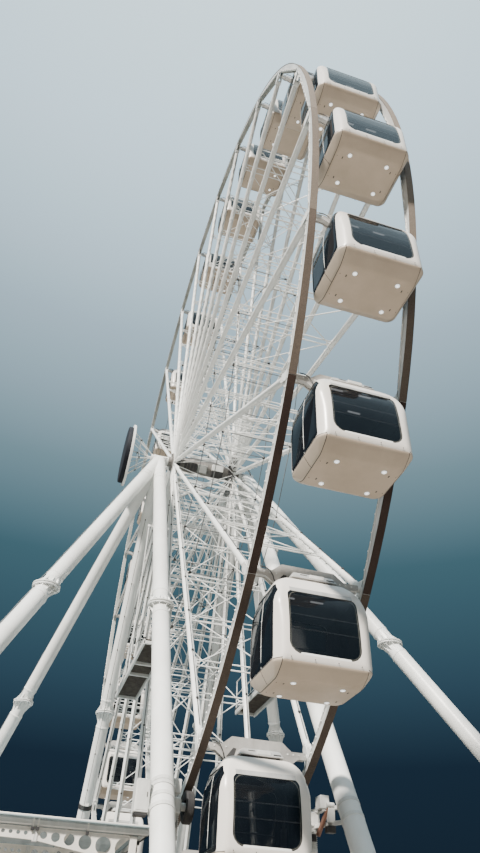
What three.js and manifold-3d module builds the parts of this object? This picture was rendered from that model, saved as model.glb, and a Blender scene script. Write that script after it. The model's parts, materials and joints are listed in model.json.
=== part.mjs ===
// A 24-cabin observation wheel on eight tubular legs, about 39 m high.
// Millimetres, +Z up. The origin is on the ground straight below the axle.
// X is the axle, the boarding side is -X, and the wheel turns in the YZ plane.
import * as THREE from 'three';
import { mergeVertices } from 'three/addons/utils/BufferGeometryUtils.js';
import Module from 'manifold-3d';

const wasm = await Module();
wasm.setup();

// Driving dimensions
const RIM_RADIUS = 18000;
const AXLE_HEIGHT = 21340;
const CABIN_COUNT = 24;
const STEP = (2 * Math.PI) / CABIN_COUNT;
const REST_PHASE = THREE.MathUtils.degToRad(-88.7);
const SEAT_GAP = 0.3;
const MERGE_DISTANCE = 0.05;

// Rings: a round running band over straight inner flanges, with plates that carry the cabins
const RING_X = 1430;
const RING_WIDTH = 200;
const RING_SEGMENTS = 72;
const FLANGE_CORNER_RADIUS = 17850;
const PLATE_RADII = [17400, 17920];
const PLATE_LENGTH = 240;
const PIVOT_RADIUS = 17737;

// Spoke frames: two radial tubes that taper towards the hub, joined by cross struts
const SPOKE_X_HUB = 1500;
const SPOKE_SIZE = 190;
const SPOKE_START = 420;
const SPOKE_TAPER_END = 1700;
const SPOKE_TAPER_SIZES = [92, 186];
const SPOKE_TIP_GAP = 0.75;
const STRUT_SIZE = 76;
const STRUT_RADII = [3000, 5400, 7800, 10200, 12600, 14700];
const SECTORS = 6;
const FRAMES_PER_SECTOR = CABIN_COUNT / SECTORS;

// Hub and axle
const AXLE_RADIUS = 175;
const BORE_RADIUS = 181;
const COLLAR_RADIUS = 250;
const DRUM_RADIUS = 300;
const BELLY_RADIUS = 430;
const BELLY_X = [600, 1150];
const CHEEK_RADIUS = 440;
const CHEEK_THICKNESS = 60;
const FLANGE_RADIUS = 520;
const FLANGE_HALF = 70;
const HUB_END_X = 1780;
const HEAD_INNER_X = 1800;
const HEAD_OUTER_X = 2560;
const HEAD_RADIUS = 205;

// Legs
const LEG_TOP_X = 2200;
const LEG_RADIUS = 275;
const LEG_STUB = 2300;
const LEG_FLANGE_AT = 0.48;
const LEG_FLANGE_RADIUS = 350;
const LEG_FLANGE_THICKNESS = 110;
const FOOT_INNER = [2350, 12430];
const FOOT_OUTER = [9960, 12310];
const FOOT_PLATE = 1150;
const FOOT_THICKNESS = 60;

// Cabins, measured from the pivot: the shell is drawn as seen from the end and from the doors
const CABIN_HALF_WIDTH = 1140;
const CABIN_HALF_DEPTH = 940;
const CABIN_CHAMFER = 210;
const CABIN_ROOF = -260;
const CABIN_FLOOR = -2600;
const CABIN_DECK = -2280;
const CABIN_END_VIEW = { floor: 950, skirt: -2270, knee: -800, roof: 945 };
const CABIN_DOOR_VIEW = { floor: 570, skirt: -2320, knee: -720, roof: 515 };
const CABIN_WALL = 70;
const WINDOW = { half: 810, bottom: -2180, top: -740 };
const DOORWAY = { half: 720, bottom: -2250, top: -620 };
const ROOF_UNIT = { halfX: 560, halfY: 450, top: -50 };
const YOKE_HALF_THICKNESS = 90;
const YOKE_HALF_OUTLINE = [[1030, -270], [1280, -100], [1280, 90], [1150, 90], [690, 260]];
const PIN_RADIUS = 70;
const PIN_START_X = 1200;

// Drive tyres press towards the running band, on gearboxes held by the inner legs
const DRIVE_ANGLE = THREE.MathUtils.degToRad(-63);
const TYRE_RADIUS = 360;
const TYRE_WIDTH = 200;
const TYRE_GAP = 6;
const SHAFT_RADIUS = 90;
const SHAFT_LENGTH = 90;
const GEARBOX_LENGTH = 300;
const GEARBOX_HEIGHT = 340;
const MOTOR_RADIUS = 140;
const MOTOR_TOP = -100;
const MOTOR_END = -720;
const DRIVE_ARM = 120;
const DRIVE_ARM_RISES = [-150, 190];

// Railings
const RAIL_POST = 50;
const RAIL_BAR = 40;
const RAIL_MIDDLE = 540;
const RAIL_TOP = 1070;
const RAIL_SINK = 20;

// Service gangways beside the front inner legs
const GANGWAY_X = [1900, 2700];
const GANGWAY_Y = [-6150, -750];
const GANGWAY_TOP = 9850;
const GANGWAY_THICKNESS = 60;
const GANGWAY_EDGE_DEPTH = 180;
const GANGWAY_EDGE_WIDTH = 60;
const GANGWAY_BAYS = 2;
const GANGWAY_ROOT_WIDTH = 240;
const HANGER_Y = -3300;
const HANGER_SIZE = 50;

// Round sign outside the left axle head, on a frame of thin tubes: a ring-shaped back and a dark drum.
// Its centre hangs a little lower than the axle.
const SIGN_X = 3700;
const SIGN_RADIUS = 1500;
const SIGN_THICKNESS = 120;
const SIGN_DROP = 140;
const SIGN_DRUM_RADIUS = 1370;
const SIGN_DRUM_DEPTH = 210;
const SIGN_BASE_RADIUS = 190;
const SIGN_BASE_THICKNESS = 80;
const SIGN_STRUT = 60;
const SIGN_STRUT_REACH = [130, 1100];

// Boarding deck beside the lowest cabin, with steps on the outer side
const DECK_X = [-8400, -1200];
const DECK_HALF_Y = 4600;
const DECK_TOP = 1100;
const DECK_THICKNESS = 140;
const DECK_POST = 140;
const DECK_POST_ROWS = [-DECK_HALF_Y + 150, -1500, 1500, DECK_HALF_Y - 150];
const DECK_RAIL_SETBACK = 700;
const STEP_COUNT = 5;
const STEP_GOING = 290;
const STEP_THICKNESS = 40;
const STEPS_HALF_WIDTH = 1500;
const STRINGER = 50;

// Canopy over the deck: tapered beams on posts, purlins and a roof sheet
const CANOPY_X = [-9000, -2550];
const CANOPY_HALF_Y = 8400;
const CANOPY_TOP = 4500;
const CANOPY_SHEET = 60;
const CANOPY_BEAMS = 7;
const CANOPY_BEAM_WIDTH = 120;
const CANOPY_BEAM_DEEP = 900;
const CANOPY_BEAM_SHALLOW = 330;
const CANOPY_POST = 200;
const CANOPY_POST_SETBACK = 500;
const CANOPY_PURLIN = [100, 140];
const CANOPY_OVERHANG = 150;

// Control cabinet on the left front leg
const CABINET_HEIGHT_AT = 4830;
const CABINET_SIZE = [320, 300, 720];
const CABINET_GAP = 40;
const CABINET_ARM = 80;

const finish = (color, roughness, metalness) =>
  new THREE.MeshStandardMaterial({ color, roughness, metalness });
const WHITE_STEEL = finish(0xdcdfdd, 0.4, 0.2);
const BROWN_BAND = finish(0x4a3a33, 0.5, 0.4);
const CABIN_SHELL = finish(0xe2ddd5, 0.25, 0.1);
const DARK_STEEL = finish(0x3a3b3d, 0.5, 0.5);
const TYRE_RUBBER = finish(0x18181a, 0.85, 0);
const ROOF_SHEET = finish(0xb4c4c4, 0.3, 0);
const DECK_GREY = finish(0x8d8f8e, 0.7, 0.2);
const SIGN_FACE = finish(0x1d2024, 0.35, 0.2);

// Turns a three.js geometry into a solid that can be joined and cut
function solid(geometry) {
  const bare = geometry.index ? geometry.toNonIndexed() : geometry.clone();
  bare.deleteAttribute('normal');
  bare.deleteAttribute('uv');
  const merged = mergeVertices(bare, 0.01);
  return new wasm.Manifold(new wasm.Mesh({
    numProp: 3,
    vertProperties: new Float32Array(merged.attributes.position.array),
    triVerts: new Uint32Array(merged.index.array),
  }));
}

const fuse = (solids) => solids.reduce((whole, next) => whole.add(next));

// Turns a solid back into a three.js mesh, without the hair-thin faces that a join can leave
function part(name, shape, material) {
  const mesh = shape.getMesh();
  const raw = new THREE.BufferGeometry();
  raw.setAttribute('position', new THREE.BufferAttribute(mesh.vertProperties, 3));
  raw.setIndex(new THREE.BufferAttribute(mesh.triVerts, 1));
  const geometry = mergeVertices(raw, MERGE_DISTANCE);
  const corners = Array.from(geometry.index.array);
  const kept = [];
  for (let i = 0; i < corners.length; i += 3) {
    const [a, b, c] = corners.slice(i, i + 3);
    if (a !== b && b !== c && c !== a) kept.push(a, b, c);
  }
  geometry.setIndex(kept);
  geometry.computeVertexNormals();
  const result = new THREE.Mesh(geometry, material);
  result.name = name;
  return result;
}

const point = (x, y, z) => new THREE.Vector3(x, y, z);
const ALONG_X = point(1, 0, 0);
const ALONG_Y = point(0, 1, 0);
const ALONG_Z = point(0, 0, 1);

function box(x0, x1, y0, y1, z0, z1) {
  const geometry = new THREE.BoxGeometry(x1 - x0, y1 - y0, z1 - z0);
  geometry.translate((x0 + x1) / 2, (y0 + y1) / 2, (z0 + z1) / 2);
  return solid(geometry);
}

// A square post that stands on z0
const post = (x, y, size, z0, z1) =>
  box(x - size / 2, x + size / 2, y - size / 2, y + size / 2, z0, z1);

// Puts a shape made along +Y between two points; its X side stays square to the hint
function between(geometry, a, b, hint) {
  const along = b.clone().sub(a).normalize();
  const side = hint.clone().addScaledVector(along, -hint.dot(along)).normalize();
  const third = side.clone().cross(along);
  const middle = a.clone().add(b).multiplyScalar(0.5);
  const place = new THREE.Matrix4().makeBasis(side, along, third).setPosition(middle);
  return solid(geometry.applyMatrix4(place));
}

function bar(a, b, width, depth = width, hint = ALONG_X) {
  return between(new THREE.BoxGeometry(width, a.distanceTo(b), depth), a, b, hint);
}

// A square bar whose width grows from one end to the other
function taperedBar(a, b, [startWidth, endWidth]) {
  const [bottom, top] = [startWidth, endWidth].map((width) => width * Math.SQRT1_2);
  const square = new THREE.CylinderGeometry(top, bottom, a.distanceTo(b), 4, 1, false, Math.PI / 4);
  return between(square, a, b, ALONG_X);
}

function tube(a, b, radius, sides = 10) {
  const hint = Math.abs(b.x - a.x) > 0.9 * a.distanceTo(b) ? ALONG_Y : ALONG_X;
  return between(new THREE.CylinderGeometry(radius, radius, a.distanceTo(b), sides), a, b, hint);
}

// A prism from an outline in two axes, pushed out along the third
function prism(outline, depth, across, up, start) {
  const shape = new THREE.Shape(outline.map(([u, v]) => new THREE.Vector2(u, v)));
  const geometry = new THREE.ExtrudeGeometry(shape, { depth, bevelEnabled: false });
  const place = new THREE.Matrix4().makeBasis(across, up, across.clone().cross(up));
  return solid(geometry.applyMatrix4(place.setPosition(start)));
}

const slabAlongX = (outline, x0, x1) => prism(outline, x1 - x0, ALONG_Y, ALONG_Z, point(x0, 0, 0));
const slabAlongY = (outline, y0, y1) => prism(outline, y1 - y0, ALONG_X, ALONG_Z, point(0, y1, 0));
const slabAlongZ = (outline, z0, z1) => prism(outline, z1 - z0, ALONG_X, ALONG_Y, point(0, 0, z0));

// Closes a half outline, listed upwards on the right, by its mirror image on the left
const mirrored = (half) => [...half, ...half.map(([u, v]) => [-u, v]).reverse()];

// A point of the wheel at an angle measured from -Y towards +Z
function onWheel(x, radius, angle) {
  return point(x, -radius * Math.cos(angle), AXLE_HEIGHT + radius * Math.sin(angle));
}

// The outline of a many-sided disc about the axle
function discOutline(radius, sides, phase) {
  return Array.from({ length: sides }, (_, k) => {
    const p = onWheel(0, radius, phase + (k * 2 * Math.PI) / sides);
    return [p.y, p.z];
  });
}

const spokeX = (radius) => SPOKE_X_HUB + ((RING_X - SPOKE_X_HUB) * radius) / RIM_RADIUS;
const cabinAngle = (index) => REST_PHASE + index * STEP;
const HUB_PHASE = REST_PHASE - STEP / 2;

function ring(side) {
  const x0 = side * RING_X - RING_WIDTH / 2;
  const x1 = side * RING_X + RING_WIDTH / 2;
  const room = slabAlongX(discOutline(FLANGE_CORNER_RADIUS, CABIN_COUNT, REST_PHASE), x0 - 1, x1 + 1);
  const pieces = [slabAlongX(discOutline(RIM_RADIUS, RING_SEGMENTS, REST_PHASE), x0, x1).subtract(room)];
  for (let k = 0; k < CABIN_COUNT; k += 1) {
    const [foot, top] = PLATE_RADII.map((radius) => onWheel(side * RING_X, radius, cabinAngle(k)));
    pieces.push(bar(foot, top, RING_WIDTH, PLATE_LENGTH));
  }
  return fuse(pieces);
}

// Four radial frames that share a wedge of the hub flanges
function spokeSector(sector) {
  const first = sector * FRAMES_PER_SECTOR;
  const pieces = [];
  const seam = SEAT_GAP / DRUM_RADIUS;
  const start = cabinAngle(first) - STEP / 2 + seam / 2;
  const end = cabinAngle(first + FRAMES_PER_SECTOR) - STEP / 2 - seam / 2;
  const innerRadius = DRUM_RADIUS + SEAT_GAP / Math.cos(STEP / 2);
  const arc = (radius) => Array.from({ length: FRAMES_PER_SECTOR + 1 }, (_, k) => {
    const angle = start + ((end - start) * k) / FRAMES_PER_SECTOR;
    const p = onWheel(0, radius, angle);
    return [p.y, p.z];
  });
  const wedge = [...arc(FLANGE_RADIUS), ...arc(innerRadius - 20).reverse()];
  for (const side of [-1, 1]) {
    const middle = side * SPOKE_X_HUB;
    pieces.push(slabAlongX(wedge, middle - FLANGE_HALF, middle + FLANGE_HALF));
  }
  for (let k = first; k < first + FRAMES_PER_SECTOR; k += 1) {
    const angle = cabinAngle(k);
    const tip = PLATE_RADII[0] - SPOKE_TIP_GAP;
    const tangent = point(0, Math.sin(angle), Math.cos(angle));
    for (const side of [-1, 1]) {
      const [root, knee, end] = [SPOKE_START, SPOKE_TAPER_END, tip].map((radius) =>
        onWheel(side * spokeX(radius), radius, angle));
      pieces.push(taperedBar(root, along(knee, end, 10), SPOKE_TAPER_SIZES));
      pieces.push(bar(knee, end, SPOKE_SIZE));
    }
    for (const radius of STRUT_RADII) {
      const x = spokeX(radius);
      pieces.push(bar(onWheel(-x, radius, angle), onWheel(x, radius, angle),
        STRUT_SIZE, STRUT_SIZE, tangent));
    }
  }
  const trim = slabAlongX(discOutline(innerRadius, CABIN_COUNT, HUB_PHASE), -HUB_END_X, HUB_END_X);
  return fuse(pieces).subtract(trim);
}

// A turned shape about the axle, from radius and x pairs that close on themselves
function turned(profile, sides) {
  const closed = [...profile, profile[0]].reverse().map(([radius, x]) => new THREE.Vector2(radius, x));
  const geometry = new THREE.LatheGeometry(closed, sides);
  const place = new THREE.Matrix4().makeBasis(ALONG_Z, ALONG_X, ALONG_Y);
  return solid(geometry.applyMatrix4(place));
}

// A spindle, widest in its middle, with a cheek outside each flange and a bore for the axle
function hub() {
  const cheek = SPOKE_X_HUB + FLANGE_HALF + SEAT_GAP;
  const half = [
    [BORE_RADIUS, HUB_END_X], [COLLAR_RADIUS, HUB_END_X], [COLLAR_RADIUS, cheek + CHEEK_THICKNESS],
    [CHEEK_RADIUS, cheek + CHEEK_THICKNESS], [CHEEK_RADIUS, cheek], [DRUM_RADIUS, cheek],
    [DRUM_RADIUS, BELLY_X[1]], [BELLY_RADIUS, BELLY_X[0]],
  ];
  const otherHalf = half.map(([radius, x]) => [radius, -x]).reverse();
  const turn = -THREE.MathUtils.radToDeg(HUB_PHASE);
  return turned([...half, ...otherHalf], CABIN_COUNT).rotate([turn, 0, 0]).translate([0, 0, AXLE_HEIGHT]);
}

const footOf = (sideX, sideY, [x, y]) => point(sideX * x, sideY * y, 0);
const topOf = (sideX) => point(sideX * LEG_TOP_X, 0, AXLE_HEIGHT);
const LEG_FEET = { leg: FOOT_INNER, outrigger: FOOT_OUTER };

function along(a, b, distance) {
  return a.clone().addScaledVector(b.clone().sub(a).normalize(), distance);
}

// The middle of an inner leg at a height
function legAxisAt(side, sideY, z) {
  return topOf(side).lerp(footOf(side, sideY, FOOT_INNER), (AXLE_HEIGHT - z) / AXLE_HEIGHT);
}

// The room that an inner leg takes in the pieces clamped to it
const legRoom = (side, sideY, z0, z1) =>
  tube(legAxisAt(side, sideY, z1), legAxisAt(side, sideY, z0), LEG_RADIUS + SEAT_GAP);

function axleHead(side) {
  const pieces = [tube(onWheel(side * HEAD_INNER_X, 0, 0), onWheel(side * HEAD_OUTER_X, 0, 0),
    HEAD_RADIUS, 16)];
  for (const foot of Object.values(LEG_FEET)) {
    for (const sideY of [-1, 1]) {
      const top = topOf(side);
      pieces.push(tube(top, along(top, footOf(side, sideY, foot), LEG_STUB), LEG_RADIUS));
    }
  }
  if (side < 0) {
    const reach = HEAD_INNER_X - SEAT_GAP;
    pieces.push(tube(onWheel(-HEAD_INNER_X - 10, 0, 0), onWheel(reach, 0, 0), AXLE_RADIUS, CABIN_COUNT));
  }
  return fuse(pieces);
}

function leg(side, sideY, foot) {
  const top = topOf(side);
  const bottom = footOf(side, sideY, foot);
  const shaft = tube(along(top, bottom, LEG_STUB + SEAT_GAP), along(bottom, top, -FOOT_PLATE), LEG_RADIUS);
  const plate = post(bottom.x, bottom.y, FOOT_PLATE, 0, FOOT_THICKNESS);
  const joint = top.clone().lerp(bottom, LEG_FLANGE_AT);
  const flange = tube(along(joint, top, LEG_FLANGE_THICKNESS / 2),
    along(joint, bottom, LEG_FLANGE_THICKNESS / 2), LEG_FLANGE_RADIUS);
  const below = post(bottom.x, bottom.y, 3 * FOOT_PLATE, -2 * FOOT_PLATE, FOOT_THICKNESS / 2);
  return fuse([shaft.subtract(below), flange, plate]);
}

// A block of the cabin's form, drawn in by the wall and down to the given floor
function cabinForm(wall, floor) {
  const view = ({ skirt, knee, floor: foot, roof }, half) => {
    const below = floor < skirt ? [[foot, floor], [half - wall, skirt]] : [[half - wall, floor]];
    return mirrored([...below, [half - wall, knee], [roof - wall, CABIN_ROOF - wall]]);
  };
  const x = CABIN_HALF_WIDTH - wall;
  const y = CABIN_HALF_DEPTH - wall;
  const cut = CABIN_CHAMFER - wall * (2 - Math.SQRT2);
  const plan = mirrored([[x - cut, -y], [x, -y + cut], [x, y - cut], [x - cut, y]]);
  const fromEnd = view(CABIN_END_VIEW, CABIN_HALF_WIDTH);
  const fromDoors = view(CABIN_DOOR_VIEW, CABIN_HALF_DEPTH);
  return slabAlongZ(plan, CABIN_FLOOR - 1, 0)
    .intersect(slabAlongY(fromEnd, -CABIN_HALF_DEPTH - 1, CABIN_HALF_DEPTH + 1))
    .intersect(slabAlongX(fromDoors, -CABIN_HALF_WIDTH - 1, CABIN_HALF_WIDTH + 1));
}

// The cabin hangs below its pivot: an open shell with windows and doors cut through
function cabin() {
  const shell = cabinForm(0, CABIN_FLOOR).subtract(cabinForm(CABIN_WALL, CABIN_DECK));
  const windows = box(-WINDOW.half, WINDOW.half, -CABIN_HALF_DEPTH - 1, CABIN_HALF_DEPTH + 1,
    WINDOW.bottom, WINDOW.top);
  const doorways = box(-CABIN_HALF_WIDTH - 1, CABIN_HALF_WIDTH + 1, -DOORWAY.half, DOORWAY.half,
    DOORWAY.bottom, DOORWAY.top);
  const pieces = [
    shell.subtract(windows).subtract(doorways),
    box(-ROOF_UNIT.halfX, ROOF_UNIT.halfX, -ROOF_UNIT.halfY, ROOF_UNIT.halfY, CABIN_ROOF - 10, ROOF_UNIT.top),
    slabAlongY(mirrored(YOKE_HALF_OUTLINE), -YOKE_HALF_THICKNESS, YOKE_HALF_THICKNESS),
  ];
  const face = RING_X - RING_WIDTH / 2 - SEAT_GAP;
  for (const side of [-1, 1]) {
    pieces.push(tube(point(side * PIN_START_X, 0, 0), point(side * face, 0, 0), PIN_RADIUS, 8));
  }
  return fuse(pieces);
}

function driveCentre(sideY) {
  const p = onWheel(0, RIM_RADIUS + TYRE_GAP + TYRE_RADIUS, DRIVE_ANGLE);
  return point(0, -sideY * p.y, p.z);
}

// A drive tyre on its wheel, with the shaft end that meets the gearbox
function driveTyre(side, sideY) {
  const centre = driveCentre(sideY);
  const at = (x) => point(side * x, centre.y, centre.z);
  const outer = RING_X + TYRE_WIDTH / 2;
  const tyre = tube(at(RING_X - TYRE_WIDTH / 2), at(outer), TYRE_RADIUS, 24);
  return fuse([tyre, tube(at(RING_X), at(outer + SHAFT_LENGTH), SHAFT_RADIUS, 10)]);
}

// Gearbox, motor and the arms that carry them from the leg
function driveUnit(side, sideY) {
  const centre = driveCentre(sideY);
  const x0 = RING_X + TYRE_WIDTH / 2 + SHAFT_LENGTH + SEAT_GAP;
  const middle = x0 + GEARBOX_LENGTH / 2;
  const at = (x, rise) => point(side * x, centre.y, centre.z + rise);
  const gearbox = bar(at(x0, 0), at(x0 + GEARBOX_LENGTH, 0), GEARBOX_HEIGHT, GEARBOX_HEIGHT, ALONG_Z);
  const motor = tube(at(middle, MOTOR_TOP), at(middle, MOTOR_END), MOTOR_RADIUS, 12);
  const arms = DRIVE_ARM_RISES.map((rise) => {
    const start = at(middle, rise);
    return bar(start, legAxisAt(side, sideY, start.z), DRIVE_ARM, DRIVE_ARM, ALONG_Z);
  });
  return fuse([gearbox, motor, ...arms])
    .subtract(legRoom(side, sideY, centre.z - 2500, centre.z + 2500));
}

// Posts in equal bays with a middle rail and a top rail, on a floor from a to b
function railing(a, b, bays) {
  const pieces = [];
  for (let k = 0; k <= bays; k += 1) {
    const foot = a.clone().lerp(b, k / bays);
    pieces.push(post(foot.x, foot.y, RAIL_POST, foot.z - RAIL_SINK, foot.z + RAIL_TOP));
  }
  for (const rise of [RAIL_MIDDLE, RAIL_TOP]) {
    const lift = point(0, 0, rise);
    pieces.push(bar(a.clone().add(lift), b.clone().add(lift), RAIL_BAR, RAIL_BAR, ALONG_Z));
  }
  return pieces;
}

// Service gangway from the inner leg towards the middle, hung below the leg
function gangway(side) {
  const [x0, x1] = GANGWAY_X;
  const [y0, y1] = GANGWAY_Y;
  const slab = (xa, xb, ya, yb, za, zb) =>
    box(Math.min(side * xa, side * xb), Math.max(side * xa, side * xb), ya, yb, za, zb);
  const pieces = [slab(x0, x1, y0, y1, GANGWAY_TOP - GANGWAY_THICKNESS, GANGWAY_TOP)];
  for (const x of [x0, x1 - GANGWAY_EDGE_WIDTH]) {
    pieces.push(slab(x, x + GANGWAY_EDGE_WIDTH, y0, y1,
      GANGWAY_TOP - GANGWAY_EDGE_DEPTH, GANGWAY_TOP - 10));
    const railX = side * (x + GANGWAY_EDGE_WIDTH / 2);
    pieces.push(...railing(point(railX, y0 + RAIL_POST, GANGWAY_TOP),
      point(railX, y1 - RAIL_POST, GANGWAY_TOP), GANGWAY_BAYS));
  }
  const middle = (x0 + x1) / 2;
  const rootY = legAxisAt(side, -1, GANGWAY_TOP).y;
  pieces.push(slab(middle - GANGWAY_ROOT_WIDTH / 2, middle + GANGWAY_ROOT_WIDTH / 2, rootY, y0 + 200,
    GANGWAY_TOP - GANGWAY_EDGE_DEPTH, GANGWAY_TOP - 20));
  const gripZ = AXLE_HEIGHT * (1 + HANGER_Y / FOOT_INNER[1]) - 130;
  for (const x of [x0 + 30, x1 - 30]) {
    const foot = point(side * x, HANGER_Y, GANGWAY_TOP - 40);
    const grip = point(side * x, HANGER_Y, gripZ);
    pieces.push(bar(foot, grip, HANGER_SIZE));
    pieces.push(bar(grip, point(side * LEG_TOP_X, HANGER_Y, gripZ), HANGER_SIZE, HANGER_SIZE, ALONG_Y));
  }
  return fuse(pieces).subtract(legRoom(side, -1, GANGWAY_TOP - 3000, gripZ + 3000));
}

function sign() {
  const at = (x, radius, angle) => onWheel(-x, radius, angle);
  const back = SIGN_X + SIGN_THICKNESS / 2;
  const centre = (x) => at(x, SIGN_DROP, -Math.PI / 2);
  const pieces = [
    tube(centre(SIGN_X - SIGN_THICKNESS / 2), centre(back), SIGN_RADIUS, 24),
    tube(centre(back - SEAT_GAP), centre(back + SIGN_DRUM_DEPTH), SIGN_DRUM_RADIUS, 24),
    tube(at(HEAD_OUTER_X + SEAT_GAP, 0, 0), at(HEAD_OUTER_X + SIGN_BASE_THICKNESS, 0, 0),
      SIGN_BASE_RADIUS, 16),
  ];
  const [near, far] = SIGN_STRUT_REACH;
  for (let k = 0; k < 4; k += 1) {
    const angle = ((k + 0.5) * Math.PI) / 2;
    pieces.push(bar(at(HEAD_OUTER_X + SIGN_BASE_THICKNESS / 2, near, angle),
      at(SIGN_X - SIGN_THICKNESS / 4, far, angle), SIGN_STRUT));
  }
  return fuse(pieces);
}

function deck() {
  const [x0, x1] = DECK_X;
  const pieces = [box(x0, x1, -DECK_HALF_Y, DECK_HALF_Y, DECK_TOP - DECK_THICKNESS, DECK_TOP)];
  for (const x of [x0 + 150, (x0 + x1) / 2, x1 - 150]) {
    for (const y of DECK_POST_ROWS) {
      pieces.push(post(x, y, DECK_POST, 0, DECK_TOP - DECK_THICKNESS / 2));
    }
  }
  const railX = [x0 + RAIL_BAR, x1 - DECK_RAIL_SETBACK];
  const railY = DECK_HALF_Y - RAIL_BAR;
  const gapY = STEPS_HALF_WIDTH + RAIL_BAR;
  for (const end of [-1, 1]) {
    const corner = point(railX[0], end * railY, DECK_TOP);
    pieces.push(...railing(corner, point(railX[1], end * railY, DECK_TOP), 3));
    pieces.push(...railing(corner, point(railX[0], end * gapY, DECK_TOP), 1));
  }
  return fuse(pieces);
}

function deckSteps() {
  const rise = DECK_TOP / (STEP_COUNT + 1);
  const x1 = DECK_X[0] - SEAT_GAP;
  const x0 = x1 - STEP_COUNT * STEP_GOING;
  const pieces = [];
  for (let k = 0; k < STEP_COUNT; k += 1) {
    const top = DECK_TOP - rise * (k + 1);
    pieces.push(box(x1 - STEP_GOING * (k + 1) - 10, x1 - STEP_GOING * k,
      -STEPS_HALF_WIDTH, STEPS_HALF_WIDTH, top - STEP_THICKNESS, top));
  }
  const stringer = [[x1, DECK_TOP - 30], [x0, rise * 0.4], [x0, 0], [x0 + 350, 0], [x1, DECK_TOP - 400]];
  for (const y of [-STEPS_HALF_WIDTH, STEPS_HALF_WIDTH - STRINGER]) {
    pieces.push(slabAlongY(stringer, y, y + STRINGER));
  }
  return fuse(pieces);
}

function canopyFrame() {
  const [x0, x1] = CANOPY_X;
  const top = CANOPY_TOP - CANOPY_SHEET;
  const outline = [[x0, top], [x0, top - CANOPY_BEAM_SHALLOW], [x1, top - CANOPY_BEAM_DEEP], [x1, top]];
  const half = CANOPY_BEAM_WIDTH / 2;
  const reach = CANOPY_HALF_Y - 100;
  const pieces = [];
  for (let k = 0; k < CANOPY_BEAMS; k += 1) {
    const y = -reach + (2 * reach * k) / (CANOPY_BEAMS - 1);
    pieces.push(slabAlongY(outline, y - half, y + half));
    const base = Math.abs(y) < DECK_HALF_Y ? DECK_TOP + SEAT_GAP : 0;
    pieces.push(post(x1 - CANOPY_POST_SETBACK, y, CANOPY_POST, base, top - CANOPY_BEAM_DEEP + 100));
  }
  const [width, depth] = CANOPY_PURLIN;
  for (const x of [x0 + 60, (x0 + x1) / 2, x1 - 160]) {
    pieces.push(box(x - width / 2, x + width / 2, -CANOPY_HALF_Y, CANOPY_HALF_Y, top - 20 - depth, top - 20));
  }
  return fuse(pieces);
}

function canopyRoof() {
  const [x0, x1] = CANOPY_X;
  const y = CANOPY_HALF_Y + CANOPY_OVERHANG;
  return box(x0 - CANOPY_OVERHANG, x1 + CANOPY_OVERHANG + 100, -y, y,
    CANOPY_TOP - CANOPY_SHEET + SEAT_GAP, CANOPY_TOP);
}

function controlCabinet() {
  const [width, depth, height] = CABINET_SIZE;
  const z = CABINET_HEIGHT_AT;
  const axis = legAxisAt(-1, -1, z);
  const x1 = axis.x - LEG_RADIUS - CABINET_GAP;
  const body = box(x1 - width, x1, axis.y - depth / 2, axis.y + depth / 2, z - height / 2, z + height / 2);
  const arms = [z - height / 3, z + height / 3].map((level) =>
    bar(point(x1 - 20, axis.y, level), point(axis.x, axis.y, level), CABINET_ARM, CABINET_ARM, ALONG_Z));
  return fuse([body, ...arms]).subtract(legRoom(-1, -1, z - 3000, z + 3000));
}

const wheelGroup = new THREE.Group();
const add = (name, shape, material) => wheelGroup.add(part(name, shape, material));

const SIDES = [['left', -1], ['right', 1]];
const ENDS = [['front', -1], ['back', 1]];

add('hub', hub(), WHITE_STEEL);
for (const [sideName, side] of SIDES) {
  add(`ring_${sideName}`, ring(side), BROWN_BAND);
  add(`axle_head_${sideName}`, axleHead(side), WHITE_STEEL);
  add(`gangway_${sideName}`, gangway(side), DARK_STEEL);
  for (const [endName, sideY] of ENDS) {
    for (const [kind, foot] of Object.entries(LEG_FEET)) {
      add(`${kind}_${endName}_${sideName}`, leg(side, sideY, foot), WHITE_STEEL);
    }
    add(`drive_unit_${endName}_${sideName}`, driveUnit(side, sideY), WHITE_STEEL);
    add(`drive_tyre_${endName}_${sideName}`, driveTyre(side, sideY), TYRE_RUBBER);
  }
}
for (let sector = 0; sector < SECTORS; sector += 1) {
  add(`spokes_${sector + 1}`, spokeSector(sector), WHITE_STEEL);
}
add('sign_left', sign(), SIGN_FACE);
add('boarding_deck', deck(), DECK_GREY);
add('deck_steps', deckSteps(), DECK_GREY);
add('canopy_frame', canopyFrame(), WHITE_STEEL);
add('canopy_roof', canopyRoof(), ROOF_SHEET);
add('control_cabinet', controlCabinet(), WHITE_STEEL);

const cabinShape = cabin();
for (let k = 0; k < CABIN_COUNT; k += 1) {
  const pivot = onWheel(0, PIVOT_RADIUS, cabinAngle(k));
  const mesh = part(`cabin_${String(k + 1).padStart(2, '0')}`, cabinShape, CABIN_SHELL);
  mesh.position.copy(pivot);
  wheelGroup.add(mesh);
}

export default wheelGroup;
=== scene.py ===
# %% [markdown]
# # An observation wheel in Blender
#
# The wheel is a light frame: two girder rings on pairs of round spokes, a spindle hub on a fixed axle, eight
# tubular legs, and 24 closed cabins that hang level from the rings. A CAD model already fixes every size and
# every joint. This script dresses it: it keeps the measures and adds tubes, bolts, bulbs, glass and paint.
#
# We start by loading the imported model. The dressed wheel must stay inside it.

import json
import math

import bmesh
import bpy
from mathutils import Matrix, Vector

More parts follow.
